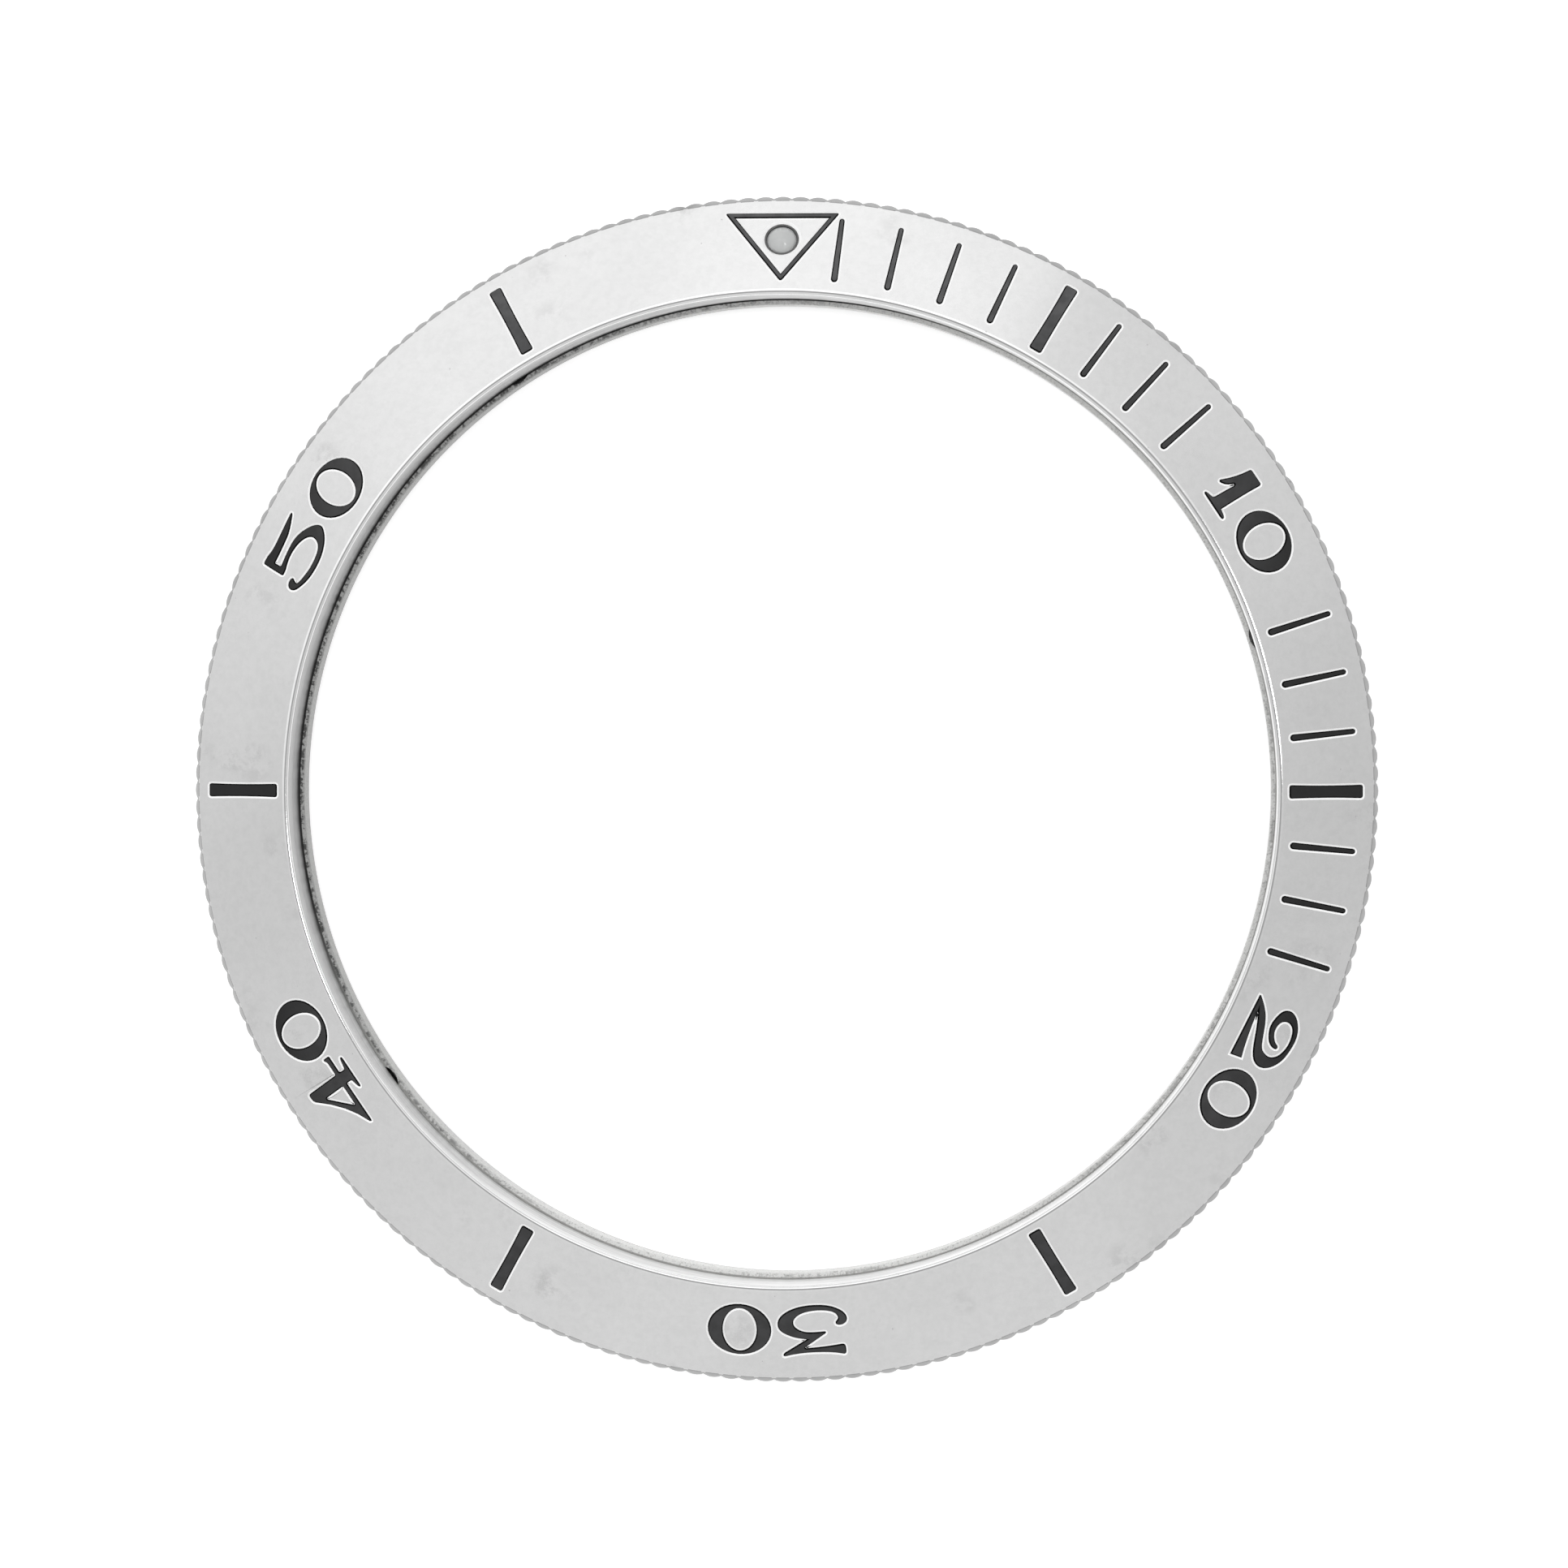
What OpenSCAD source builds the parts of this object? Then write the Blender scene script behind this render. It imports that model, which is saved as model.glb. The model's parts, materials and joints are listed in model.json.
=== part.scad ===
// Rotating dial bezel of a diving watch, on its seat ring.
// Millimetres. Z is up, z = 0 is the case top, 12 o'clock is +Y and 3 o'clock is +X.

/* [Bezel ring] */
// Diameter over the crests of the grip lobes
outer_d = 40; // [37:0.5:44]
// Radial width of the ring, from its opening to the crests of the lobes
ring_w = 3.4; // [3.2:0.02:3.8]
// Height from the case top to the highest point
total_h = 3.8; // [3.5:0.05:4.6]
// Slope of the dial face, which falls outwards
face_angle = 24; // [16:0.5:26]
// Radius of the polished edge between the dial face and the opening
edge_round = 0.12; // [0.08:0.01:0.3]
// Radial width of the shoulder between the dial face and the lobes
shoulder_w = 0.15; // [0.1:0.01:0.3]
// Drop of the shoulder over that width
shoulder_h = 0.2; // [0.1:0.01:0.4]
// Number of grip lobes
lobe_n = 208; // [180:4:220]
// Depth of the valleys between the lobes
lobe_depth = 0.12; // [0.08:0.01:0.16]
// Chamfer under the lobes
foot_chamfer = 0.3; // [0.2:0.05:0.5]
// Wall of the skirt that reaches down round the seat ring
skirt_wall = 1.1; // [1:0.05:1.15]
// Gap between the skirt and the case top
skirt_gap = 0.15; // [0.1:0.01:0.2]

/* [Dial marks] */
// Depth of the engraving, square to the dial face
engrave_depth = 0.2; // [0.12:0.01:0.3]
// Depth of the enamel surface below the dial face
enamel_sink = 0.04; // [0.02:0.01:0.08]
// Space between the minute marks and the inner edge of the dial face
tick_in_margin = 0.35; // [0.25:0.01:0.5]
// Space between the minute marks and the outer edge of the dial face
tick_out_margin = 0.53; // [0.4:0.01:0.7]
// Width of a minute mark at its inner end
tick_in_w = 0.23; // [0.18:0.01:0.3]
// Width of a minute mark at its outer end
tick_out_w = 0.18; // [0.14:0.01:0.24]
// Space between the bars and the inner edge of the dial face
bar_in_margin = 0.23; // [0.15:0.01:0.4]
// Space between the bars and the outer edge of the dial face
bar_out_margin = 0.38; // [0.25:0.01:0.5]
// Width of a bar at its waist
bar_w = 0.41; // [0.34:0.01:0.5]
// How far each end of a bar flares out on each side
bar_flare = 0.02; // [0.01:0.005:0.04]
// Length of the eased corners of the bars
bar_corner = 0.09; // [0.03:0.01:0.1]
// Height of the numerals
numeral_h = 1.78; // [1.6:0.01:1.85]
// Space between the feet of the numerals and the inner edge of the dial face
numeral_foot = 0.53; // [0.45:0.01:0.6]
// How far the triangle's corners stay inside the lines of the first and last minute
triangle_inset = 0.1; // [0.04:0.01:0.2]
// Space between the triangle's apex and the inner edge of the dial face
triangle_margin = 0.28; // [0.2:0.01:0.4]
// Space between the triangle's base and the outer edge of the dial face
triangle_base_margin = 0.44; // [0.3:0.01:0.5]
// Stroke width of the triangle
triangle_stroke = 0.175; // [0.14:0.005:0.22]
// Length of the eased corners of the triangle
triangle_corner = 0.12; // [0.06:0.01:0.16]

/* [Pearl] */
// Diameter of the pearl's hole in the dial face
pearl_d = 1.15; // [1:0.01:1.2]
// Depth of that hole, square to the dial face
pearl_depth = 0.7; // [0.5:0.05:0.9]
// Distance of the pearl outside the middle of the triangle
pearl_rise = 0.05; // [0:0.01:0.1]
// Wall of the pearl's cup
cup_wall = 0.07; // [0.05:0.01:0.1]
// Floor of the pearl's cup
cup_floor = 0.12; // [0.08:0.01:0.2]
// Thickness of the luminous pellet in the cup
lume_h = 0.3; // [0.15:0.01:0.34]
// Height of the pearl's dome above the dial face
dome_h = 0.12; // [0.08:0.01:0.2]

/* [Seat ring] */
// How far the seat ring's bore, which the case collar fills, stands inside the opening
bore_step = 0.18; // [0.1:0.01:0.25]
// Height of the seat ring
seat_h = 1.15; // [1.1:0.01:1.3]
// Chamfer at the foot of that bore
lead_in = 0.15; // [0.1:0.01:0.2]
// Radial clearance between the seat ring and the bezel's skirt
run_gap = 0.1; // [0.05:0.01:0.12]
// Diameter of the round reliefs in the top of the seat ring, which reach in under the gasket
relief_d = 1.3; // [1:0.02:1.4]
// Depth of the reliefs
relief_depth = 0.3; // [0.2:0.01:0.35]
// Wall left between the reliefs and the seat ring's bore
relief_rim = 0.08; // [0.05:0.01:0.12]
// Inset of the gasket from the wall of the opening
gasket_inset = 0.02; // [0.01:0.01:0.3]
// Radial width of the gasket
gasket_w = 0.42; // [0.36:0.01:0.46]
// Thickness of the gasket
gasket_h = 0.33; // [0.3:0.01:0.4]
// Gap between the gasket and the bezel
rub_gap = 0.02; // [0.01:0.005:0.03]

/* [Retaining wire] */
// Diameter of the wire
wire_d = 0.5; // [0.4:0.01:0.54]
// Height of the wire's centre above the case top
wire_z = 0.62; // [0.56:0.01:0.7]
// Clearance round the wire in its two grooves
wire_gap = 0.04; // [0.02:0.005:0.05]
// Angle of the opening between the wire's ends
wire_split = 9; // [5:1:20]

/* [Clicks] */
// Number of clicks in a full turn
click_n = 120; // [60:12:120]
// Diameter of a click ball
ball_d = 0.8; // [0.7:0.01:0.84]
// Clearance between a ball and its pocket's wall
ball_gap = 0.03; // [0.02:0.005:0.04]
// Clearance between a ball and the notch that it lies in
notch_gap = 0.01; // [0.01:0.005:0.02]
// How much larger the radius of a notch is than that of a ball
notch_ease = 0.02; // [0.02:0.005:0.04]
// Depth of a notch above the bezel's underside
notch_depth = 0.12; // [0.08:0.01:0.16]
// Radial length of a notch
notch_len = 1; // [0.9:0.02:1.1]
// Thickness of the seat ring under a ball's pocket
pocket_floor = 0.15; // [0.1:0.01:0.2]
// Wire diameter of a click spring
spring_wire = 0.09; // [0.07:0.005:0.1]
// Diameter of a click spring at the middle of its wire
spring_d = 0.48; // [0.42:0.01:0.52]
// Turns of a click spring
spring_turns = 3.5; // [2.5:0.5:4.5]

/* [Hidden] */

// Minutes that carry a short mark, and minutes that carry a bar
TICKS = [1, 2, 3, 4, 6, 7, 8, 12, 13, 14, 16, 17, 18];
BARS = [5, 15, 25, 35, 45, 55];
// Minute of each pair of numerals, and how far its two digits stand from that minute's line
NUMERALS = [[10, -1.14, 0.83], [20, -1.02, 1.4], [30, -0.95, 1.4], [40, -1.3, 1.08], [50, -1.21, 1.3]];
// Angles of the seat ring's reliefs and of the click balls, clockwise from 12 o'clock
RELIEFS = [72, 234, 327];
BALLS = [30, 150, 270];

steel = [0.78, 0.78, 0.79];
rough_steel = [0.55, 0.55, 0.54];
spring_steel = [0.66, 0.67, 0.69];
enamel = [0.09, 0.09, 0.1];
rubber = [0.05, 0.05, 0.05];
lume = [0.8, 0.82, 0.76];
clear = [0.82, 0.85, 0.86, 0.5];

ring_fn = 360;
fine_fn = 48;
// Steps of each curved stretch of an outline
curve_steps = 4;
// Steps of the ring's inner edge on each side of its highest point
edge_steps = 6;
// Degrees from one minute to the next
minute_step = 360 / 60;
// How far a cutting shape runs past the surface that it opens
spare = 0.2;

outer_r = outer_d / 2;
opening_r = outer_r - ring_w;
// Where the dial face and the wall of the opening would meet without their round edge
corner_z = total_h + edge_round * (tan(face_angle) + 1 / cos(face_angle) - 1);
edge_z = total_h - edge_round;
face_in_r = opening_r + edge_round * (1 + sin(face_angle));
face_out_r = outer_r - shoulder_w;

// Height of the dial face at a radius
function face_z(r) = corner_z - (r - opening_r) * tan(face_angle);
// Vertical drop that lies a given depth square to the dial face
function drop(depth) = depth / cos(face_angle);

// The triangle's apex and base as radii, half its width and the length of its slanted sides
triangle_apex = face_in_r + triangle_margin;
triangle_base = face_out_r - triangle_base_margin;
triangle_half = triangle_base * tan(minute_step) - triangle_inset;
triangle_side = norm([triangle_half, triangle_base - triangle_apex]);

skirt_r = outer_r - skirt_wall;
seat_r = skirt_r - run_gap;
seat_bore_r = opening_r - bore_step;
gasket_r = opening_r + gasket_inset;
roof_z = seat_h + gasket_h + rub_gap;
wire_r = skirt_r - run_gap / 2;
groove_d = wire_d + 2 * wire_gap;
groove_in_r = wire_r - groove_d / 2;

// The balls lie halfway between the gasket and the wire's groove
track_r = (gasket_r + gasket_w + groove_in_r) / 2;
pocket_d = ball_d + 2 * ball_gap;
notch_d = ball_d + 2 * notch_ease;
notch_z = roof_z + notch_depth - notch_d / 2;
ball_z = roof_z + notch_depth - notch_gap - ball_d / 2;
spring_reach = (ball_d + spring_wire) / 2 + notch_gap;
spring_top = ball_z - sqrt(spring_reach ^ 2 - (spring_d / 2) ^ 2);
spring_bottom = pocket_floor + spring_wire / 2;

// Half the distance between two lobes, and the radius that gives their valleys the wanted depth
lobe_half = outer_r * sin(180 / lobe_n);
lobe_r = (lobe_half ^ 2 + lobe_depth ^ 2) / (2 * lobe_depth);

// A point [x, y] of an outline is a corner, and [x, y, 1] pulls a curve towards itself
function pulls(p) = len(p) == 3;
function flat(p) = [p[0], p[1]];
function step(list, i) = list[(i + len(list)) % len(list)];
function joint(a, b) = pulls(b) ? (flat(a) + flat(b)) / 2 : flat(b);
function bend(a, b, c, t) = a * (1 - t) ^ 2 + b * 2 * t * (1 - t) + c * t ^ 2;
function stretch(before, p, after) =
    let (last = pulls(after) ? curve_steps : curve_steps - 1)
    [for (k = [1 : last]) bend(joint(p, before), flat(p), joint(p, after), k / curve_steps)];
function outline(list) = [for (i = [0 : len(list) - 1])
    each pulls(list[i]) ? stretch(step(list, i - 1), list[i], step(list, i + 1)) : [flat(list[i])]];

// A polygon whose corners are eased over a length
function toward(a, b, length) = a + (b - a) * length / norm(b - a);
function eased(list, length) = [for (i = [0 : len(list) - 1])
    let (p = list[i])
    each [toward(p, step(list, i - 1), length), [p[0], p[1], 1], toward(p, step(list, i + 1), length)]];

function arc(centre, r, from, to, steps) =
    [for (k = [0 : steps]) centre + r * [cos(from + (to - from) * k / steps), sin(from + (to - from) * k / steps)]];
function ellipse(centre, a, b, lean) = [for (k = [0 : 10 : 350])
    centre + [a * cos(k) * cos(lean) - b * sin(k) * sin(lean), a * cos(k) * sin(lean) + b * sin(k) * cos(lean)]];

// Outlines and places of the digits are drawn at this height
glyph_h = 1.78;
ONE = [[-0.285, 0.78], [-0.285, 0.87, 1], [-0.19, 0.87], [0.26, 0.87], [0.35, 0.87, 1], [0.345, 0.77],
    [0.3, 0.2, 1], [0.295, -0.71], [0.47, -0.745], [0.6, -0.77, 1], [0.6, -0.89, 1], [0.5, -0.89],
    [-0.38, -0.89], [-0.49, -0.89, 1], [-0.49, -0.79, 1], [-0.34, -0.755], [-0.22, -0.72], [-0.18, -0.7, 1],
    [-0.175, -0.62], [-0.155, -0.25, 1], [-0.13, 0.06], [-0.16, 0.15, 1], [-0.2, 0.08], [-0.25, -0.06, 1],
    [-0.34, -0.15], [-0.42, -0.21], [-0.5, -0.27, 1], [-0.57, -0.19, 1], [-0.525, -0.12], [-0.34, 0.3, 1]];
TWO = [[-1.18, -0.82], [1.03, -0.82], [0.99, -0.41], [0.4, -0.55, 1], [-0.68, -0.64], [-0.35, -0.48, 1],
    [0.72, -0.17, 1], [1.02, 0.12, 1], [1, 0.47, 1], [0.7, 0.78, 1], [0.28, 0.94, 1], [-0.45, 0.99, 1],
    [-0.97, 0.72, 1], [-1.15, 0.42, 1], [-1.07, 0.16, 1], [-0.82, 0.03, 1], [-0.42, -0.05, 1],
    [-0.1, 0.04, 1], [0.14, 0.18, 1], [0.25, 0.36, 1], [0.25, 0.52, 1], [0.12, 0.53, 1], [0.05, 0.37, 1],
    [-0.2, 0.2, 1], [-0.45, 0.175, 1], [-0.68, 0.26, 1], [-0.76, 0.44, 1], [-0.7, 0.62, 1], [-0.5, 0.76, 1],
    [-0.05, 0.82, 1], [0.38, 0.7, 1], [0.57, 0.48, 1], [0.56, 0.28, 1], [0.44, 0.06, 1], [0.1, -0.06, 1],
    [-0.55, -0.26, 1], [-0.95, -0.53, 1], [-1.18, -0.77]];
THREE = [[-1.1, 0.87], [-0.7, 0.77, 1], [-0.1, 0.773], [0.45, 0.775, 1], [0.84, 0.865], [0.95, 0.885, 1],
    [0.95, 0.78, 1], [0.88, 0.73], [0.12, 0.3], [0.45, 0.26, 1], [0.86, 0.08, 1], [1.05, -0.1, 1],
    [1.07, -0.34, 1], [0.93, -0.58, 1], [0.55, -0.8, 1], [0, -0.91, 1], [-0.65, -0.89, 1], [-1.08, -0.72, 1],
    [-1.28, -0.52, 1], [-1.3, -0.3, 1], [-1.14, -0.16, 1], [-0.93, -0.16, 1], [-0.88, -0.27, 1],
    [-0.98, -0.36, 1], [-1, -0.46, 1], [-0.88, -0.62, 1], [-0.55, -0.7, 1], [-0.15, -0.7, 1], [0.25, -0.62, 1],
    [0.5, -0.44, 1], [0.54, -0.26, 1], [0.45, -0.1, 1], [0.2, 0.04, 1], [-0.15, 0.065, 1], [-0.47, 0.045],
    [-0.55, 0.04, 1], [-0.55, 0.12, 1], [-0.46, 0.165], [0.18, 0.58], [0.21, 0.61, 1], [0.12, 0.61],
    [-0.5, 0.59, 1], [-1.05, 0.51], [-1.16, 0.5, 1], [-1.19, 0.68, 1], [-1.18, 0.87, 1]];
FOUR = [[0.11, 0.855], [0.17, 0.915, 1], [0.3, 0.92], [0.38, 0.92], [0.455, 0.92, 1], [0.46, 0.82],
    [0.485, -0.27], [0.487, -0.305, 1], [0.53, -0.305], [0.95, -0.305], [1.02, -0.29, 1], [1.07, -0.25],
    [1.15, -0.21, 1], [1.15, -0.31], [1.15, -0.43], [1.15, -0.485, 1], [1.08, -0.485], [0.53, -0.485],
    [0.487, -0.485, 1], [0.485, -0.53], [0.48, -0.66], [0.49, -0.7, 1], [0.56, -0.71], [0.75, -0.745],
    [0.89, -0.77, 1], [0.89, -0.865, 1], [0.76, -0.865], [-0.18, -0.865], [-0.3, -0.865, 1], [-0.3, -0.78, 1],
    [-0.15, -0.74], [-0.02, -0.71], [0.045, -0.7, 1], [0.045, -0.64], [0.045, -0.53], [0.045, -0.49, 1],
    [0, -0.49], [-1.38, -0.49], [-1.53, -0.49, 1], [-1.44, -0.4], [-0.58, -0.05, 1]];
FOUR_EYE = [[0.02, 0.37], [0.035, -0.26], [0.035, -0.305, 1], [-0.01, -0.305], [-0.64, -0.305],
    [-0.74, -0.305, 1], [-0.67, -0.24], [-0.07, 0.395], [0.02, 0.47, 1]];
FIVE = [[-0.9, 0.9], [-0.9, 0.975, 1], [-0.8, 0.975], [-0.6, 0.97, 1], [-0.35, 0.89, 1], [0, 0.89],
    [0.97, 0.895], [1.08, 0.895, 1], [1.08, 0.82, 1], [0.97, 0.785], [0.5, 0.625, 1], [0.1, 0.605, 1],
    [-0.35, 0.6], [-0.66, 0.605], [-0.7, 0.605, 1], [-0.7, 0.57], [-0.7, 0.41], [-0.7, 0.37, 1],
    [-0.64, 0.37], [-0.15, 0.4, 1], [0.4, 0.37, 1], [0.8, 0.17, 1], [1.07, -0.06, 1], [1.17, -0.28, 1],
    [1.08, -0.45, 1], [0.78, -0.66, 1], [0.35, -0.79, 1], [-0.15, -0.815, 1], [-0.65, -0.75, 1],
    [-1.05, -0.58, 1], [-1.24, -0.44, 1], [-1.25, -0.25, 1], [-1.12, -0.14, 1], [-0.92, -0.14, 1],
    [-0.84, -0.22, 1], [-0.95, -0.34, 1], [-0.97, -0.43, 1], [-0.75, -0.51, 1], [-0.3, -0.61, 1],
    [0.2, -0.61, 1], [0.5, -0.53, 1], [0.65, -0.36, 1], [0.68, -0.18, 1], [0.55, 0, 1], [0.25, 0.16, 1],
    [-0.2, 0.23, 1], [-0.55, 0.19, 1], [-0.75, 0.14, 1], [-0.88, 0.145], [-0.96, 0.145, 1], [-0.95, 0.22],
    [-0.94, 0.5, 1]];

module at_angle(clockwise) {
    rotate([0, 0, -clockwise]) children();
}

module tick(minute) {
    start = [0, face_in_r + tick_in_margin + tick_in_w / 2];
    end = [0, face_out_r - tick_out_margin - tick_out_w / 2];
    at_angle(minute_step * minute)
        polygon(concat(arc(start, tick_in_w / 2, 180, 360, 8), arc(end, tick_out_w / 2, 0, 180, 8)));
}

module bar(minute) {
    low = face_in_r + bar_in_margin;
    high = face_out_r - bar_out_margin;
    end_x = bar_w / 2 + bar_flare;
    waist_x = bar_w / 2 - bar_flare;
    at_angle(minute_step * minute)
        polygon(outline([
            [-end_x + bar_corner, low], [-end_x, low, 1], [-end_x, low + bar_corner],
            [-waist_x, (low + high) / 2, 1],
            [-end_x, high - bar_corner], [-end_x, high, 1], [-end_x + bar_corner, high],
            [end_x - bar_corner, high], [end_x, high, 1], [end_x, high - bar_corner],
            [waist_x, (low + high) / 2, 1],
            [end_x, low + bar_corner], [end_x, low, 1], [end_x - bar_corner, low]]));
}

module triangle() {
    corners = [[0, triangle_apex], [triangle_half, triangle_base], [-triangle_half, triangle_base]];
    // The inner outline keeps the stroke's width along all three sides
    inner_apex = triangle_apex + triangle_stroke * triangle_side / triangle_half;
    inner_base = triangle_base - triangle_stroke;
    inner_half = (inner_base - inner_apex) * triangle_half / (triangle_base - triangle_apex);
    difference() {
        polygon(outline(eased(corners, triangle_corner)));
        polygon([[0, inner_apex], [inner_half, inner_base], [-inner_half, inner_base]]);
    }
}

module digit(minute, shift, value) {
    r = face_in_r + numeral_foot + numeral_h / 2;
    size = numeral_h / glyph_h;
    at_angle(minute_step * minute + shift * size / r * 180 / PI)
        translate([0, r]) scale(size) glyph(value);
}

module glyph(value) {
    if (value == 0)
        difference() {
            polygon(ellipse([0.015, -0.01], 1.075, 0.89, 0));
            polygon(ellipse([0.01, 0], 0.575, 0.75, 3));
        }
    if (value == 1) polygon(outline(ONE));
    if (value == 2) polygon(outline(TWO));
    if (value == 3) polygon(outline(THREE));
    if (value == 4)
        difference() {
            polygon(outline(FOUR));
            polygon(outline(FOUR_EYE));
        }
    if (value == 5) polygon(outline(FIVE));
}

module tens_digit(k) {
    digit(NUMERALS[k][0], NUMERALS[k][1], k + 1);
}

module zero_digit(k) {
    digit(NUMERALS[k][0], NUMERALS[k][2], 0);
}

module all_marks() {
    for (minute = TICKS) tick(minute);
    for (minute = BARS) bar(minute);
    for (k = [0 : len(NUMERALS) - 1]) {
        tens_digit(k);
        zero_digit(k);
    }
    triangle();
}

// A conical layer of the ring, between two depths below the dial face
module face_layer(shallow, deep) {
    rotate_extrude($fn = ring_fn)
        polygon([
            [opening_r, face_z(opening_r) - drop(deep)], [outer_r, face_z(outer_r) - drop(deep)],
            [outer_r, face_z(outer_r) - drop(shallow)], [opening_r, face_z(opening_r) - drop(shallow)]]);
}

// What lies in a plan outline between two depths below the dial face
module in_face(shallow, deep) {
    intersection() {
        linear_extrude(total_h + 2 * edge_round + spare) children();
        face_layer(shallow, deep);
    }
}

module inlay() {
    color(enamel) in_face(enamel_sink, engrave_depth) children();
}

// The pearl's axis stands square to the dial face at 12 o'clock, close to the triangle's middle
module at_pearl() {
    middle = triangle_half * (triangle_base - triangle_apex) / (triangle_half + triangle_side);
    r = triangle_base - middle + pearl_rise;
    translate([0, r, face_z(r)]) rotate([-face_angle, 0, 0]) children();
}

module ring_profile() {
    shoulder_z = face_z(face_out_r);
    edge_centre = [opening_r + edge_round, edge_z];
    difference() {
        polygon(concat(
            [[skirt_r, roof_z], [skirt_r, skirt_gap], [outer_r - foot_chamfer, skirt_gap],
                [outer_r + spare, skirt_gap + foot_chamfer + spare],
                [outer_r + spare, shoulder_z - shoulder_h * (1 + spare / shoulder_w)],
                [face_out_r, shoulder_z]],
            arc(edge_centre, edge_round, 90 - face_angle, 90, edge_steps),
            arc(edge_centre, edge_round, 90 + 90 / edge_steps, 180, edge_steps - 1),
            [[opening_r, roof_z]]));
        translate([wire_r, wire_z]) circle(d = groove_d, $fn = fine_fn);
    }
}

module lobed_disc() {
    circle(r = outer_r - lobe_r, $fn = ring_fn);
    for (k = [0 : lobe_n - 1])
        at_angle(k * 360 / lobe_n) translate([0, outer_r - lobe_r]) circle(r = lobe_r, $fn = fine_fn);
}

module click_notches() {
    for (k = [0 : click_n - 1])
        at_angle(k * 360 / click_n)
            translate([0, track_r + notch_len / 2, notch_z])
                rotate([90, 0, 0])
                    cylinder(d = notch_d, h = notch_len, $fn = fine_fn);
}

module bezel_ring() {
    color(steel)
        difference() {
            intersection() {
                linear_extrude(total_h + spare) lobed_disc();
                rotate_extrude($fn = ring_fn) ring_profile();
            }
            click_notches();
            in_face(-spare, engrave_depth) all_marks();
            at_pearl() translate([0, 0, -pearl_depth])
                cylinder(d = pearl_d, h = pearl_depth + spare, $fn = fine_fn);
        }
}

module retaining_wire() {
    color(spring_steel)
        rotate([0, 0, wire_split / 2 - 90])
            rotate_extrude(angle = 360 - wire_split, $fn = ring_fn)
                translate([wire_r, wire_z]) circle(d = wire_d, $fn = fine_fn);
}

module pearl_cup() {
    color(spring_steel)
        at_pearl()
            translate([0, 0, -pearl_depth])
                difference() {
                    cylinder(d = pearl_d, h = pearl_depth, $fn = fine_fn);
                    translate([0, 0, cup_floor])
                        cylinder(d = pearl_d - 2 * cup_wall, h = pearl_depth, $fn = fine_fn);
                }
}

module pearl_lume() {
    color(lume)
        at_pearl()
            translate([0, 0, cup_floor - pearl_depth])
                cylinder(d = pearl_d - 2 * cup_wall, h = lume_h, $fn = fine_fn);
}

module pearl_dome() {
    r = pearl_d / 2 - cup_wall;
    seat = cup_floor + lume_h - pearl_depth;
    ball_r = (r ^ 2 + dome_h ^ 2) / (2 * dome_h);
    color(clear)
        at_pearl()
            rotate_extrude($fn = fine_fn)
                polygon(concat(
                    [[0, seat], [r, seat]],
                    arc([0, dome_h - ball_r], ball_r, acos(r / ball_r), 90, 8)));
}

module seat_ring() {
    color(rough_steel)
        difference() {
            rotate_extrude($fn = ring_fn)
                difference() {
                    polygon([
                        [seat_bore_r + lead_in, 0], [seat_r, 0], [seat_r, seat_h],
                        [seat_bore_r, seat_h], [seat_bore_r, lead_in]]);
                    translate([wire_r, wire_z]) circle(d = groove_d, $fn = fine_fn);
                }
            for (angle = BALLS)
                at_angle(angle) translate([0, track_r, pocket_floor])
                    cylinder(d = pocket_d, h = seat_h, $fn = fine_fn);
            for (angle = RELIEFS)
                at_angle(angle) translate([0, seat_bore_r + relief_rim + relief_d / 2, seat_h - relief_depth])
                    cylinder(d = relief_d, h = relief_depth + spare, $fn = fine_fn);
        }
}

module friction_gasket() {
    color(rubber)
        rotate_extrude($fn = ring_fn)
            translate([gasket_r, seat_h]) square([gasket_w, gasket_h]);
}

module click_ball(k) {
    color(spring_steel)
        at_angle(BALLS[k]) translate([0, track_r, ball_z]) sphere(d = ball_d, $fn = fine_fn);
}

// A round wire wound in a coil, as rings of points that are joined by quads
module coil(r, wire, low, high, turns) {
    sides = 6;
    per_turn = 12;
    last = round(turns * per_turn);
    rise = (high - low) / last;
    points = [for (i = [0 : last]) for (k = [0 : sides - 1])
        let (a = i * 360 / per_turn, across = wire / 2 * cos(k * 360 / sides))
        [(r + across) * cos(a), (r + across) * sin(a), low + i * rise + wire / 2 * sin(k * 360 / sides)]];
    walls = [for (i = [0 : last - 1]) for (k = [0 : sides - 1])
        let (next = (k + 1) % sides)
        [i * sides + k, i * sides + next, (i + 1) * sides + next, (i + 1) * sides + k]];
    caps = [[for (k = [sides - 1 : -1 : 0]) k], [for (k = [0 : sides - 1]) last * sides + k]];
    polyhedron(points = points, faces = concat(walls, caps));
}

module click_spring(k) {
    color(spring_steel)
        at_angle(BALLS[k]) translate([0, track_r, 0])
            coil(spring_d / 2, spring_wire, spring_bottom, spring_top, spring_turns);
}

bezel_ring();
retaining_wire();
inlay() triangle();  // triangle_enamel
pearl_cup();
pearl_lume();
pearl_dome();
inlay() bar(5);  // bar_enamel_05
inlay() bar(15);  // bar_enamel_15
inlay() bar(25);  // bar_enamel_25
inlay() bar(35);  // bar_enamel_35
inlay() bar(45);  // bar_enamel_45
inlay() bar(55);  // bar_enamel_55
inlay() tick(1);  // minute_enamel_01
inlay() tick(2);  // minute_enamel_02
inlay() tick(3);  // minute_enamel_03
inlay() tick(4);  // minute_enamel_04
inlay() tick(6);  // minute_enamel_06
inlay() tick(7);  // minute_enamel_07
inlay() tick(8);  // minute_enamel_08
inlay() tick(12);  // minute_enamel_12
inlay() tick(13);  // minute_enamel_13
inlay() tick(14);  // minute_enamel_14
inlay() tick(16);  // minute_enamel_16
inlay() tick(17);  // minute_enamel_17
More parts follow.
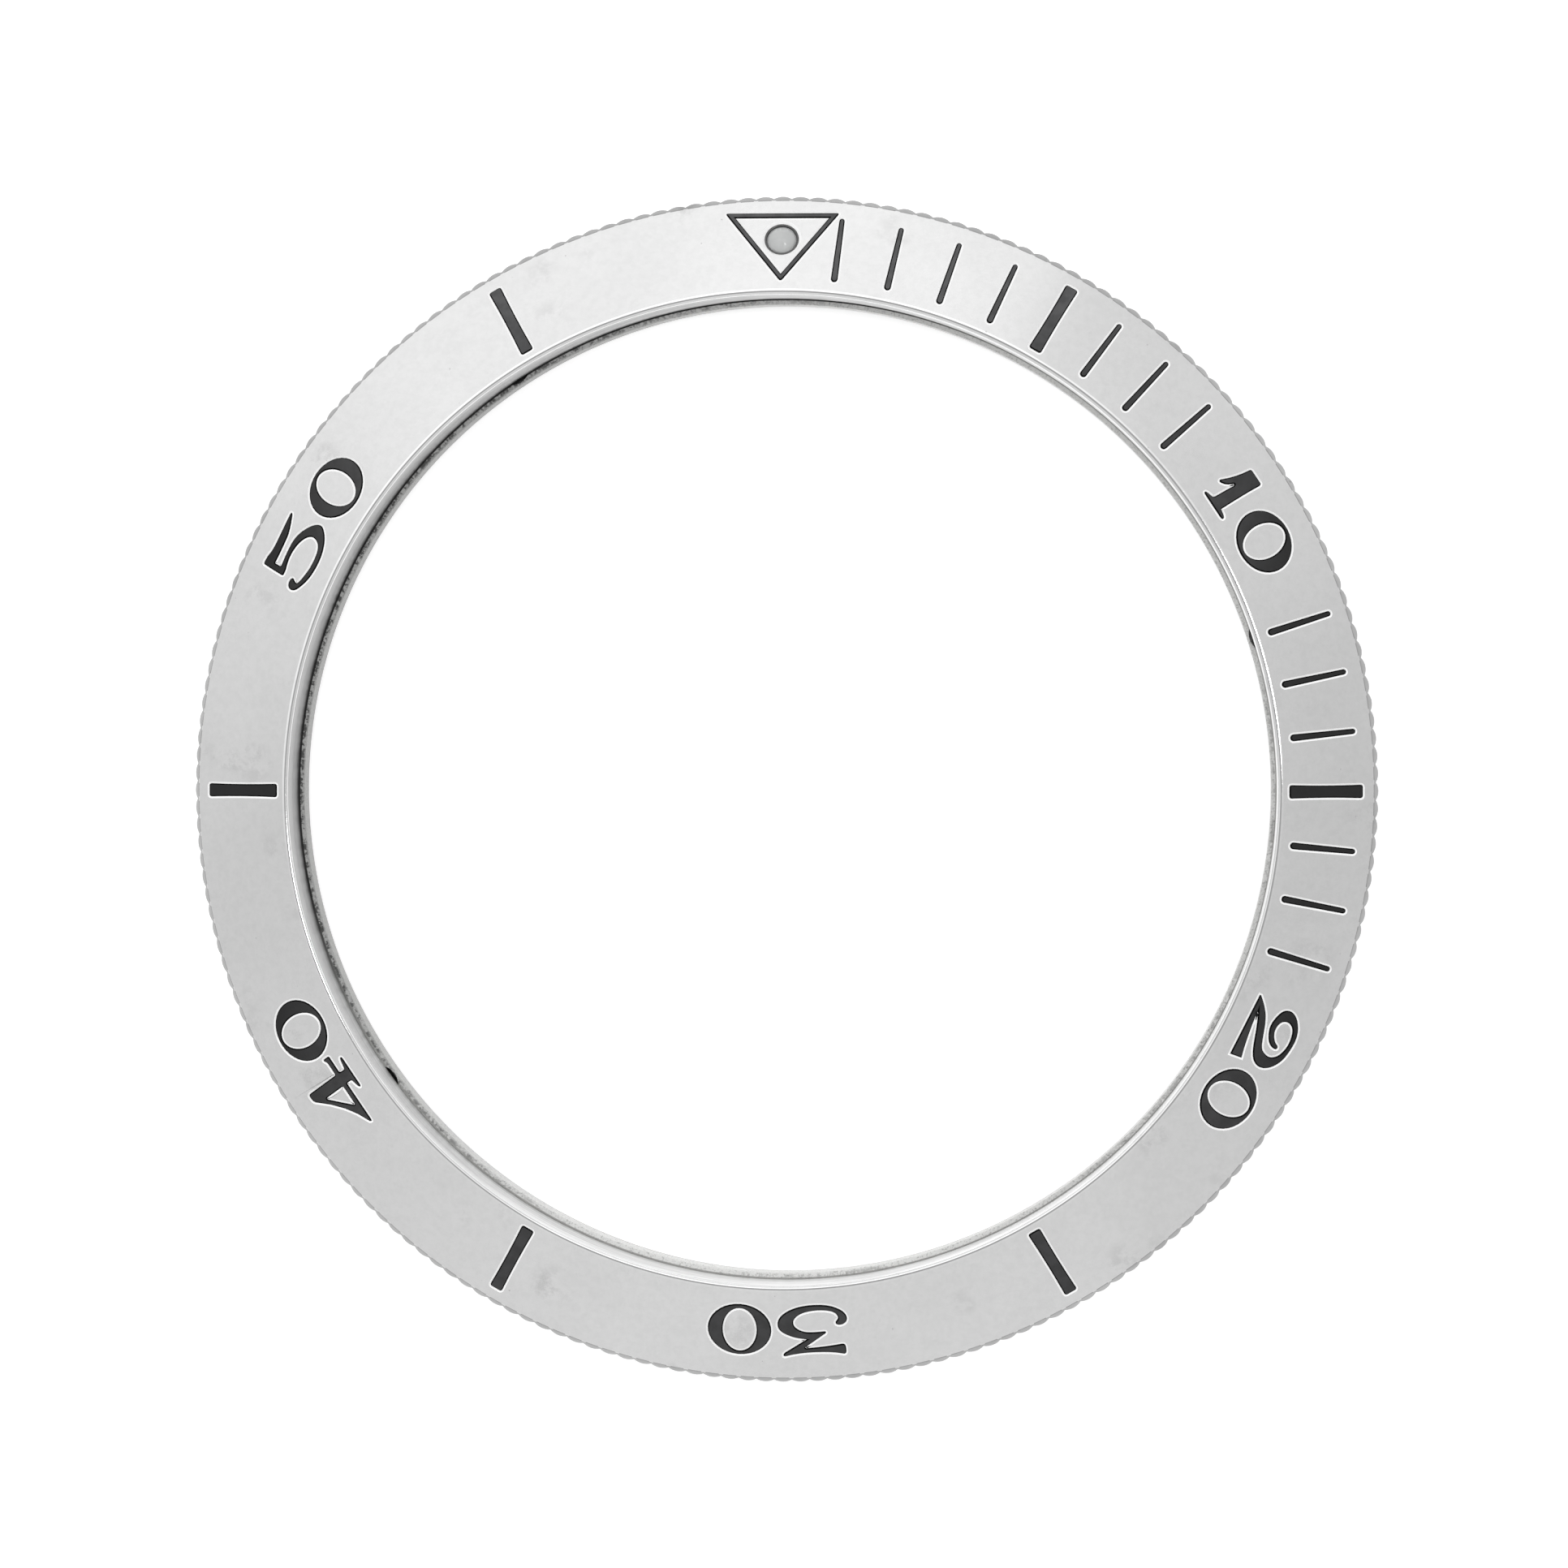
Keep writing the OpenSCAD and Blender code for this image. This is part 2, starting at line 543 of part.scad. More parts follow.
inlay() tick(18);  // minute_enamel_18
inlay() tens_digit(0);  // numeral_10_one
inlay() zero_digit(0);  // numeral_10_zero
inlay() tens_digit(1);  // numeral_20_two
inlay() zero_digit(1);  // numeral_20_zero
inlay() tens_digit(2);  // numeral_30_three
inlay() zero_digit(2);  // numeral_30_zero
inlay() tens_digit(3);  // numeral_40_four
inlay() zero_digit(3);  // numeral_40_zero
inlay() tens_digit(4);  // numeral_50_five
inlay() zero_digit(4);  // numeral_50_zero
seat_ring();
friction_gasket();
click_ball(0);  // click_ball_1
click_ball(1);  // click_ball_2
click_ball(2);  // click_ball_3
click_spring(0);  // click_spring_1
click_spring(1);  // click_spring_2
click_spring(2);  // click_spring_3
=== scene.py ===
"""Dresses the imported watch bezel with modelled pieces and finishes, and sets a stage for it."""

import json
import math

import bmesh
import bpy
from bpy.props import FloatProperty, FloatVectorProperty, IntProperty, PointerProperty
from mathutils import Matrix, Vector


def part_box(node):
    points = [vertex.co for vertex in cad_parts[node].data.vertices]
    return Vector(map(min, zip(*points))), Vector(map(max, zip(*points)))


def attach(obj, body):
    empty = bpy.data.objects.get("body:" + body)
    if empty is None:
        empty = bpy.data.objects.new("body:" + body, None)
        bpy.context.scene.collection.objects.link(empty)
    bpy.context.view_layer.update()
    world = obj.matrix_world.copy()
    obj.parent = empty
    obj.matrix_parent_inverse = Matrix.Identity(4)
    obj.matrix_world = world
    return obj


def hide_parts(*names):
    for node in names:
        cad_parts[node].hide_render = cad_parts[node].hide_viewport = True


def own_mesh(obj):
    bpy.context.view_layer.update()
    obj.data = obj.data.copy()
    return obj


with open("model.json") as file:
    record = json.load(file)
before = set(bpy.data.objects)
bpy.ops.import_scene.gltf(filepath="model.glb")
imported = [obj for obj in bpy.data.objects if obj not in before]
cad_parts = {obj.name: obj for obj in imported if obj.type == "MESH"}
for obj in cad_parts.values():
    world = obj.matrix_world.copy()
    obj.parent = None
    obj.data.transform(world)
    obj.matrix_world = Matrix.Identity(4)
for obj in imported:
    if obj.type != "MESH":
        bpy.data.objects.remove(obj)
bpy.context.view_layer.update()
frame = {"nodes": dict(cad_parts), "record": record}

bl_info = {
    "name": "Watch bezel",
    "version": (1, 0, 0),
    "blender": (4, 5, 0),
    "location": "3D View > Sidebar > Bezel",
    "description": "Builds the pieces of a turning watch bezel with their finishes, and a stage for them",
    "category": "Add Mesh",
}

MM = 0.001
# How far a chamfer's cutter runs, as a multiple of the chamfer's width
OVERCUT = 1.5
# Distances within which the points of a CAD node's mesh, and of a turned shape, are one
NODE_MERGE = 0.0002 * MM
TURNED_MERGE = 0.0005 * MM
# Roundings of the turned rings: the bore's rim, fine edges, common edges and soft ones
RIM_ROUND, FINE_ROUND, EDGE_ROUND, SOFT_ROUND = 0.02 * MM, 0.03 * MM, 0.04 * MM, 0.05 * MM
# Steps of the pearl's parts and of its hole, all the way round
PEARL_STEPS = 96
# Least cosine that a corner's push is divided by when a patch is widened, so that sharp corners stay close
CORNER_LIMIT = 0.6
NODES = frame["nodes"]
MOUNTS = {mount["name"]: mount for mount in frame["record"]["mounts"]}
ENAMELS = [name for name in NODES if "enamel" in name or name.startswith("numeral")]
# Smudges on the dial face: angle in degrees clockwise from 12 o'clock, radius and size in millimetres
MARKS_OF_USE = (
    (108, 18.6, 1.3), (124, 17.5, 0.9), (116, 18.9, 0.7), (184.5, 18.2, 1.0), (189.5, 17.1, 0.4),
    (238, 18.6, 1.0), (334, 17.6, 0.9), (335, 19.4, 0.8), (44, 17.9, 0.4), (205, 18.4, 1.0),
)
# Angles of the seat ring's reliefs in degrees, clockwise from 12 o'clock
RELIEFS = (72, 234, 327)
# Specks in a metre of steel, and the turning lines in a metre of its fine finish and of the opening's wall
SPECKS = 2600
FINE_LINES = 60000
WALL_LINES = 4500
# Clock angle in degrees where the opening's wall and the seat ring are painted darkest, as painted shade
SHADED_SIDE = 288
# Clock angle in degrees round which the gasket shows black and the steel beside it is painted black, as
# painted shade
BLACK_SHADE_SIDE = 313
# Numbers of the ring's finishes, in the order of its materials. GRIP and WALL are steel darkened as painted
# shade, LIP is a painted highlight and BLACK is painted shade
SATIN, POLISHED, GRIP, WALL, LIP, BLACK = range(6)
# Distance of the lamps from the ring in metres, and radius of the floor
LAMP_AWAY = 0.55
FLOOR_R = 4


def length(name, description, millimetres):
    """A length property, given in millimetres."""
    value = millimetres * MM
    return FloatProperty(name=name, description=description, default=value, precision=6, unit="LENGTH")


def share(name, description, value):
    """A plain property from 0 to 1."""
    return FloatProperty(name=name, description=description, default=value, min=0, max=1, subtype="FACTOR")


def angle(name, description, degrees):
    """An angle property, given in degrees."""
    value = math.radians(degrees)
    return FloatProperty(name=name, description=description, default=value, subtype="ANGLE")


def colour(name, description, value):
    """A colour property in linear light."""
    return FloatVectorProperty(
        name=name, description=description, default=value, min=0, max=1, subtype="COLOR",
    )


class RingSettings(bpy.types.PropertyGroup):
    """Sizes and finish of the bezel ring"""

    slope: angle("Face slope", "How steeply the dial face falls outwards", 24)
    edge_round: length("Edge round", "Radius of the polished edge where it turns down into the opening", 0.12)
    edge_blend: length("Edge blend", "Radius of the polished edge where it leaves the dial face", 0.28)
    shoulder_w: length("Shoulder width", "Radial width of the shoulder between the face and the lobes", 0.15)
    shoulder_h: length("Shoulder height", "Drop of the shoulder over its width", 0.2)
    lobes: IntProperty(name="Lobes", description="Number of grip lobes", default=208)
    lobe_depth: length("Lobe depth", "Depth of the valleys between the lobes", 0.09)
    lobe_steps: IntProperty(name="Lobe steps", description="Steps of the ring's mesh in each lobe", default=8)
    foot_chamfer: length("Foot chamfer", "Chamfer under the lobes", 0.3)
    skirt_wall: length("Skirt wall", "Wall of the skirt round the seat ring", 1.1)
    groove_d: length("Groove", "Diameter of the groove for the retaining wire", 0.58)
    engraving: length("Engraving", "Depth of the engraved marks", 0.2)
    lip: length("Lip", "Width of the bright chamfer round each engraved mark", 0.06)
    pearl_lip: length("Pearl lip", "Width of the chamfer round the pearl's hole", 0.09)
    clicks: IntProperty(name="Clicks", description="Number of click notches in the underside", default=120)
    notch_d: length("Notch", "Diameter of the round-bottomed click notches", 0.84)
    notch_depth: length("Notch depth", "Depth of the click notches", 0.12)
    notch_len: length("Notch length", "Radial length of the click notches", 1)
    steel: colour("Steel", "Colour of the steel", (0.8, 0.8, 0.8))
    # The chamfers round the marks are painted near white as a painted highlight
    bright: colour("Bright lip", "Colour of the chamfers round the marks", (0.93, 0.93, 0.93))
    # The shoulder and the lobes are painted darker than the steel as painted shade
    grip: colour("Grip", "Colour of the shoulder and the lobes", (0.34, 0.34, 0.34))
    # The opening's wall is painted darker towards this colour as painted shade
    wall: colour("Wall", "Colour of the opening's wall where it is dullest", (0.42, 0.42, 0.42))
    # Painted shade on the opening's wall just above the gasket, and the colour of its streaks
    streak_and_shade: colour("Streaks and shade", "Colour of the opening's wall just above the gasket", (0.13, 0.13, 0.13))
    satin: share("Satin", "Roughness of the dial face", 0.13)
    polish: share("Polish", "Roughness of the polished edges", 0.07)


class EnamelSettings(bpy.types.PropertyGroup):
    """Sizes and finish of the enamel in the marks"""

    sink: length("Sink", "How much lower the enamel has dried than it was laid", 0.04)
    moat: length("Moat", "Width of the rim that has shrunk away from the walls of its mark", 0.04)
    shrink: length("Shrink", "Depth of that rim below the enamel's top", 0.06)
    sheen: share("Sheen", "Strength of the enamel's reflections", 0.25)
    paint: colour("Paint", "Colour of the enamel", (0.04, 0.04, 0.041))
    gloss: share("Gloss", "Roughness of the enamel", 0.32)


class PearlSettings(bpy.types.PropertyGroup):
    """Sizes and finish of the pearl"""

    wall: length("Cup wall", "Wall of the pearl's cup", 0.07)
    sunk: length("Sunk rim", "Depth of the cup's rim below the dial face", 0.08)
    dome_edge: length("Dome edge", "Depth of the dome's edge below the dial face", 0.15)
    floor: length("Cup floor", "Floor of the pearl's cup", 0.12)
    break_edge: length("Broken edge", "Rounding of the cup's rim and of the pellet", 0.03)
    resin: colour("Resin", "Colour of the clear dome", (0.86, 0.87, 0.87))
    lume: colour("Pellet", "Colour of the luminous pellet", (0.95, 0.96, 0.94))
    cup: colour("Cup", "Colour of the cup", (0.13, 0.13, 0.13))


class SeatSettings(bpy.types.PropertyGroup):
    """Sizes and finish of the seat ring and its gasket"""

    lead_in: length("Lead-in", "Chamfer at the foot of the seat ring's bore", 0.15)
    steps: IntProperty(name="Steps", description="Steps of the seat ring's mesh", default=720)
    relief_d: length("Relief", "Diameter of the round reliefs that reach in under the gasket", 1.3)
    relief_depth: length("Relief depth", "Depth of the reliefs", 0.3)
    relief_rim: length("Relief rim", "Wall left between the reliefs and the bore", 0.08)
    pocket_floor: length("Pocket floor", "Thickness under a ball's pocket", 0.15)
    ball_gap: length("Ball gap", "Clearance between a ball and its pocket", 0.03)
    ragged: length("Ragged", "Height of the rough skin in the bore", 0.02)
    gasket_round: length("Gasket round", "Rounding of the gasket's edges", 0.08)
    steel: colour("Steel", "Colour of the seat ring", (0.7, 0.7, 0.69))
    rubber: colour("Rubber", "Colour of the gasket", (0.012, 0.012, 0.012))
    # The dust colour also stands as painted shade on the steel beside the gasket, away from its black side
    dust: colour("Dust", "Colour of the dust on the gasket and beside it", (0.34, 0.34, 0.33))


class ClickSettings(bpy.types.PropertyGroup):
    """Sizes and finish of the balls, springs and retaining wire"""

    wire_d: length("Spring wire", "Wire diameter of a click spring", 0.09)
    turns: FloatProperty(name="Turns", description="Turns of a click spring", default=3.5)
    turn_steps: IntProperty(name="Turn steps", description="Steps of the mesh in each turn", default=36)
    end_round: length("End round", "Rounding of the retaining wire's ends", 0.12)
    steel: colour("Spring steel", "Colour of the springs, balls and retaining wire", (0.6, 0.61, 0.63))


class StageSettings(bpy.types.PropertyGroup):
    """The camera and the floor"""

    distance: length("Distance", "Distance of the camera from the dial face", 205)
    aim_r: length("Aim", "Radius of the dial face at whose height the camera aims", 17)
    lean_right: angle("Lean right", "Tilt of the camera's axis towards 3 o'clock", 3.91)
    lean_up: angle("Lean up", "Tilt of the camera's axis towards 12 o'clock", 1.2)
    lens: FloatProperty(name="Lens", description="Focal length for a 36 mm sensor", default=140.5)
    shift_x: FloatProperty(name="Shift X", description="Sideways shift of the frame", default=0.00243)
    shift_y: FloatProperty(name="Shift Y", description="Upward shift of the frame", default=0.00465)
    paper: colour("Paper", "Colour of the floor", (0.8, 0.8, 0.8))
    glow: FloatProperty(name="Glow", description="Light that the floor adds where it is seen", default=0.5)


def face_height(radius):
    """Height of the dial face at a radius."""
    ring = bpy.context.scene.bezel_ring_settings
    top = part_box("bezel_ring")[1].z
    corner = top + ring.edge_round * (math.tan(ring.slope) + 1 / math.cos(ring.slope) - 1)
    return corner - (radius - opening_radius()) * math.tan(ring.slope)


def opening_radius():
    """Radius of the opening round the crystal."""
    return MOUNTS["crystal_opening"]["dims"]["r_mm"] * MM


def blend_radius(ring):
    """Radius at which the dial face goes over into the polished edge."""
    return opening_radius() + ring.edge_round + ring.edge_blend * math.sin(ring.slope)


def roof_height():
    """Height of the ring's underside over the gasket, where the opening's wall starts."""
    wall = MOUNTS["crystal_opening"]
    return wall["pos_m"][2] - wall["dims"]["length_mm"] / 2 * MM


def clock_way(clock):
    """The direction of a clock angle in degrees, as its X and Y."""
    turned = math.radians(clock)
    return math.sin(turned), math.cos(turned)


def radii(node):
    """The least and the greatest distance of a node's surface from the ring's axis."""
    found = [v.co.xy.length for v in NODES[node].data.vertices]
    return min(found), max(found)


def node_shape(node):
    """A merged copy of a CAD node's mesh."""
    shape = bmesh.new()
    shape.from_mesh(NODES[node].data)
    bmesh.ops.remove_doubles(shape, verts=shape.verts, dist=NODE_MERGE)
    return shape


def outline(corners):
    """An outline in the XZ plane. A corner is a radius, a height, its rounding and the rounding's steps."""
    shape = bmesh.new()
    verts = [shape.verts.new((radius, 0, height)) for radius, height, _, _ in corners]
    shape.faces.new(verts)
    for vert, (_, _, rounded, steps) in zip(verts, corners):
        if rounded:
            bmesh.ops.bevel(
                shape, geom=[vert], offset=rounded, offset_type="OFFSET", segments=steps, profile=0.5,
                affect="VERTICES", material=-1,
            )
    bmesh.ops.delete(shape, geom=shape.faces[:], context="FACES_ONLY")
    return shape


def arc(centre, radius, first, last, steps):
    """Corners of an outline along an arc round a point, between two angles in degrees."""
    turns = [math.radians(first + (last - first) * k / steps) for k in range(steps + 1)]
    return [(centre[0] + radius * math.cos(t), centre[1] + radius * math.sin(t), 0, 1) for t in turns]


def wire_groove(wall):
    """The wire's groove: its middle as a radius and a height, its radius, and its angle at a wall."""
    low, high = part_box("retaining_wire")
    inner, outer = radii("retaining_wire")
    middle = (inner + outer) / 2, (low.z + high.z) / 2
    half = bpy.context.scene.bezel_ring_settings.groove_d / 2
    return middle, half, math.degrees(math.acos((wall - middle[0]) / half))


def turn(shape, steps):
    """Turns an outline all the way round the ring's axis."""
    bmesh.ops.spin(
        shape, geom=shape.verts[:] + shape.edges[:], cent=(0, 0, 0), axis=(0, 0, 1),
        angle=math.tau, steps=steps, use_merge=True,
    )
    bmesh.ops.remove_doubles(shape, verts=shape.verts, dist=TURNED_MERGE)
    bmesh.ops.delete(shape, geom=[edge for edge in shape.edges if edge.is_wire], context="EDGES")
    bmesh.ops.recalc_face_normals(shape, faces=shape.faces)
    return shape


def add_piece(name, shape):
    """Makes an object of a shape."""
    mesh = bpy.data.meshes.new(name)
    shape.to_mesh(mesh)
    shape.free()
    piece = bpy.data.objects.new(name, mesh)
    bpy.context.scene.collection.objects.link(piece)
    return piece


def settle(piece):
    """Makes what a piece's modifiers give its plain mesh."""
    plain = piece.data
    piece.data = bpy.data.meshes.new_from_object(piece.evaluated_get(bpy.context.evaluated_depsgraph_get()))
    piece.modifiers.clear()
    bpy.data.meshes.remove(plain)


def carve(piece, cutters):
    """Cuts shapes out of a piece."""
    tool = add_piece("cutters", cutters)
    cut = piece.modifiers.new("Cut", "BOOLEAN")
    cut.operation = "DIFFERENCE"
    cut.solver = "MANIFOLD"
    cut.object = tool
    settle(piece)
    bpy.data.meshes.remove(tool.data)


def smooth(piece, limit=30):
    """Shades a piece smooth, but for the edges that turn by more than a limit in degrees."""
    shape = bmesh.new()
    shape.from_mesh(piece.data)
    for face in shape.faces:
        face.smooth = True
    for edge in shape.edges:
        edge.smooth = edge.is_manifold and edge.calc_face_angle() < math.radians(limit)
    shape.to_mesh(piece.data)
    shape.free()
    weigh = piece.modifiers.new("Weigh", "WEIGHTED_NORMAL")
    weigh.keep_sharp = True
    settle(piece)


def dress(piece, body, materials, nodes):
    """Shades a finished piece, gives it its materials and its body, and lets it stand for its nodes."""
    smooth(piece)
    kinds = [face.material_index for face in piece.data.polygons]
    piece.data.materials.clear()
    for material in materials:
        piece.data.materials.append(material)
    piece.data.polygons.foreach_set("material_index", kinds)
    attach(piece, body)
    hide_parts(*nodes)
    return piece


def upper_faces(shape):
    """The faces of a mark that face up."""
    shape.normal_update()
    return [face for face in shape.faces if face.normal.z > 0.5]


def widen(faces, distance, slope):
    """Moves the border of a patch of faces outwards in plan, and along the cone that the patch lies on."""
    patch = set(faces)
    pushes = {}
    for face in faces:
        for loop in face.loops:
            if all(other in patch for other in loop.edge.link_faces) and len(loop.edge.link_faces) == 2:
                continue
            along = loop.link_loop_next.vert.co - loop.vert.co
            outward = Vector((along.y, -along.x, 0)).normalized()
            for vert in loop.edge.verts:
                pushes.setdefault(vert, Vector()).xyz += outward
    for vert, push in pushes.items():
        before = vert.co.xy.length
        vert.co += push.normalized() * distance / max(CORNER_LIMIT, push.length / 2)
        vert.co.z -= (vert.co.xy.length - before) * math.tan(slope)


def raise_patch(shape, faces, height, floor=False):
    """Draws a patch of faces up, with a floor left below it if asked, and returns its new top."""
    drawn = bmesh.ops.extrude_face_region(shape, geom=faces)["geom"]
    if not floor:
        bmesh.ops.delete(shape, geom=faces, context="FACES")
    verts = [part for part in drawn if isinstance(part, bmesh.types.BMVert)]
    bmesh.ops.translate(shape, verts=verts, vec=(0, 0, height))
    return [part for part in drawn if isinstance(part, bmesh.types.BMFace)]


def append_shape(target, shape):
    """Adds a shape to another, and frees it."""
    mesh = bpy.data.meshes.new("part")
    shape.to_mesh(mesh)
    target.from_mesh(mesh)
    shape.free()
    bpy.data.meshes.remove(mesh)


def mark_cutter(node, ring):
    """What is cut away for one engraved mark: straight walls with a chamfer round their top."""
    shape = node_shape(node)
    top = upper_faces(shape)
    keep = set(top)
    bmesh.ops.delete(shape, geom=[face for face in shape.faces if face not in keep], context="FACES")
    shape.faces.ensure_lookup_table()
    sample = shape.faces[0].verts[0].co
    surface = face_height(sample.xy.length) - sample.z
    floor = ring.engraving / math.cos(ring.slope)
    bmesh.ops.translate(shape, verts=shape.verts, vec=(0, 0, surface - floor))
    level = raise_patch(shape, shape.faces[:], floor - ring.lip, floor=True)
    level = raise_patch(shape, level, OVERCUT * ring.lip)
    shape.normal_update()
    widen(level, OVERCUT * ring.lip, ring.slope)
    bmesh.ops.recalc_face_normals(shape, faces=shape.faces)
    return shape


def pearl_place(ring):
    """The pearl's axis: where it stands on the dial face and how it leans."""
    lean = Matrix.Rotation(-ring.slope, 4, "X")
    local = [lean.inverted() @ v.co for v in NODES["pearl_cup"].data.vertices]
    middle = (min(v.y for v in local) + max(v.y for v in local)) / 2
    top = max(v.z for v in local)
    return lean @ Matrix.Translation((0, middle, top))


def pearl_sizes(ring):
    """The radius of the pearl's hole and the heights of its parts, measured from the dial face."""
    inverse = pearl_place(ring).inverted()
    sizes = {}
    for node in ("pearl_cup", "pearl_lume", "pearl_dome"):
        local = [inverse @ v.co for v in NODES[node].data.vertices]
        sizes[node] = max(v.x for v in local), min(v.z for v in local), max(v.z for v in local)
    return sizes


def click_notches(ring):
    """The notches that the balls click into, as cutters."""
    ball_low, ball_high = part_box("click_ball_1")
    track = ((ball_low + ball_high) / 2).xy.length
    height = roof_height() + ring.notch_depth - ring.notch_d / 2
    shape = bmesh.new()
    lie = Matrix.Translation((0, track, height)) @ Matrix.Rotation(math.radians(90), 4, "X")
    made = bmesh.ops.create_cone(
        shape, cap_ends=True, segments=32, radius1=ring.notch_d / 2, radius2=ring.notch_d / 2,
        depth=ring.notch_len, matrix=lie,
    )
    bmesh.ops.spin(
        shape, geom=made["verts"] + shape.edges[:] + shape.faces[:], cent=(0, 0, 0), axis=(0, 0, 1),
        angle=-math.tau * (1 - 1 / ring.clicks), steps=ring.clicks - 1, use_duplicate=True,
    )
    bmesh.ops.recalc_face_normals(shape, faces=shape.faces)
    return shape


def lobe_radius(turned, ring, outer):
    """Radius of the lobed edge at an angle."""
    pitch = math.tau / ring.lobes
    half = outer * math.sin(pitch / 2)
    lobe = (half**2 + ring.lobe_depth**2) / (2 * ring.lobe_depth)
    centre = outer - lobe
    off = (turned + pitch / 2) % pitch - pitch / 2
    return centre * math.cos(off) + math.sqrt(lobe**2 - (centre * math.sin(off)) ** 2)


def scallop(shape, ring, outer, foot):
    """Draws the valleys between the grip lobes in from a round edge."""
    face_out = outer - ring.shoulder_w
    chamfer_in = outer - ring.foot_chamfer
    slant = ring.shoulder_h / ring.shoulder_w
    middle = (foot + ring.foot_chamfer + face_height(face_out) - ring.shoulder_h) / 2
    for vert in shape.verts:
        radius = vert.co.xy.length
        upper = vert.co.z > middle
        base = face_out if upper else chamfer_in
        if radius <= base:
            continue
        limit = lobe_radius(math.atan2(vert.co.y, vert.co.x), ring, outer)
        wanted = base + (radius - base) * (limit - base) / (outer - base)
        vert.co.z += (radius - wanted) * (slant if upper else -1)
        vert.co.xy *= wanted / radius


def ring_section(ring, outer, foot):
    """The ring's outline: skirt with the wire's groove, grip edge, shoulder, dial face and inner edge."""
    opening, roof = opening_radius(), roof_height()
    skirt = outer - ring.skirt_wall
    groove, half, reach = wire_groove(skirt)
    face_out = outer - ring.shoulder_w
    shoulder = face_height(face_out)
    lean = 90 - math.degrees(ring.slope)
    crest = opening + ring.edge_round
    crown = face_height(blend_radius(ring)) + ring.edge_blend * (1 - math.cos(ring.slope))
    return outline(
        [(opening, roof, FINE_ROUND, 2), (skirt, roof, 0, 1)]
        + arc(groove, half, reach, -reach, 8)
        + [
            (skirt, foot, SOFT_ROUND, 2),
            (outer - ring.foot_chamfer, foot, FINE_ROUND, 2),
            (outer, foot + ring.foot_chamfer, EDGE_ROUND, 2),
            (outer, shoulder - ring.shoulder_h, SOFT_ROUND, 3),
            (face_out, shoulder, EDGE_ROUND, 3),
        ]
        + arc((crest, crown - ring.edge_blend), ring.edge_blend, lean, 90, 6)
        + arc((crest, crown - ring.edge_round), ring.edge_round, 99, 180, 9)
    )


def pearl_hole(ring):
    """What is cut away for the pearl: a round hole with a chamfer at the dial face."""
    radius, bottom, _ = pearl_sizes(ring)["pearl_cup"]
    above = (OVERCUT - 1) * ring.pearl_lip
    hole = outline(
        [
            (0, bottom, 0, 1), (radius, bottom, 0, 1), (radius, -ring.pearl_lip, 0, 1),
            (radius + OVERCUT * ring.pearl_lip, above, 0, 1), (0, above, 0, 1),
        ]
    )
    turn(hole, PEARL_STEPS)
    bmesh.ops.transform(hole, matrix=pearl_place(ring), verts=hole.verts)
    return hole


def sort_faces(mesh, ring, outer):
    """Gives each face of the ring the number of its finish."""
    opening, roof = opening_radius(), roof_height()
    corner = face_height(opening)
    inner_edge = blend_radius(ring)
    # The dial face has the cone's slope and leans outwards, and a mark's chamfer doesn't do both
    for face in mesh.polygons:
        radius = face.center.xy.length
        outward = face.normal.xy.dot(face.center.xy) / radius
        on_slope = abs(face.normal.z - math.cos(ring.slope)) < 0.02 and outward > 0.3
        depth = corner - (radius - opening) * math.tan(ring.slope) - face.center.z
        if radius < inner_edge and face.center.z > roof:
            face.material_index = WALL if face.normal.z < 0.5 else POLISHED
        elif radius > outer - ring.foot_chamfer and not on_slope:
            face.material_index = SATIN if face.normal.z > 0.8 else GRIP
        elif depth < OVERCUT * ring.engraving and not on_slope:
            # A mark's chamfer takes the painted highlight, and its walls the painted shade
            face.material_index = LIP if face.normal.z > 0.2 else BLACK


class BEZEL_OT_ring(bpy.types.Operator):
    """Build the bezel ring: turned, lobed, engraved and notched"""

    bl_idname = "bezel.ring"
    bl_label = "Bezel ring"

    def execute(self, context):
        ring = context.scene.bezel_ring_settings
        low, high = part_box("bezel_ring")
        outer, foot = high.x, low.z
        shape = ring_section(ring, outer, foot)
        turn(shape, ring.lobes * ring.lobe_steps)
        scallop(shape, ring, outer, foot)
        piece = add_piece("bezel_turned", shape)
        cutters = click_notches(ring)
        for node in ENAMELS:
            append_shape(cutters, mark_cutter(node, ring))
        append_shape(cutters, pearl_hole(ring))
        carve(piece, cutters)
        finishes = [satin_steel(), polished_steel(), grip_shaded_steel(), wall_steel(), lip_painted_highlight(), enamel_edge_shade()]
        dress(piece, "bezel", finishes, ["bezel_ring"])
        sort_faces(piece.data, ring, outer)
        return {"FINISHED"}


class BEZEL_OT_enamel(bpy.types.Operator):
    """Fill each engraved mark with enamel that has shrunk away from its walls a little"""

    bl_idname = "bezel.enamel"
    bl_label = "Enamel"

    def execute(self, context):
        settings = context.scene.bezel_enamel_settings
        coats = [enamel_paint(), enamel_edge_shade()]
        for node in ENAMELS:
            shape = node_shape(node)
            top = upper_faces(shape)
            rim = {vert for face in top for vert in face.verts}
            bmesh.ops.translate(shape, verts=list(rim), vec=(0, 0, -settings.sink - settings.shrink))
            bmesh.ops.inset_region(
                shape, faces=top, thickness=settings.moat, depth=settings.shrink,
                use_even_offset=True, use_boundary=True,
            )
            coated = set(top)
            # The enamel's top keeps the enamel; the moat and the walls take the painted shade
            for face in shape.faces:
                face.material_index = 0 if face in coated else 1
            piece = add_piece(f"{node}_fill", shape)
            dress(piece, "bezel", coats, [node])
        return {"FINISHED"}


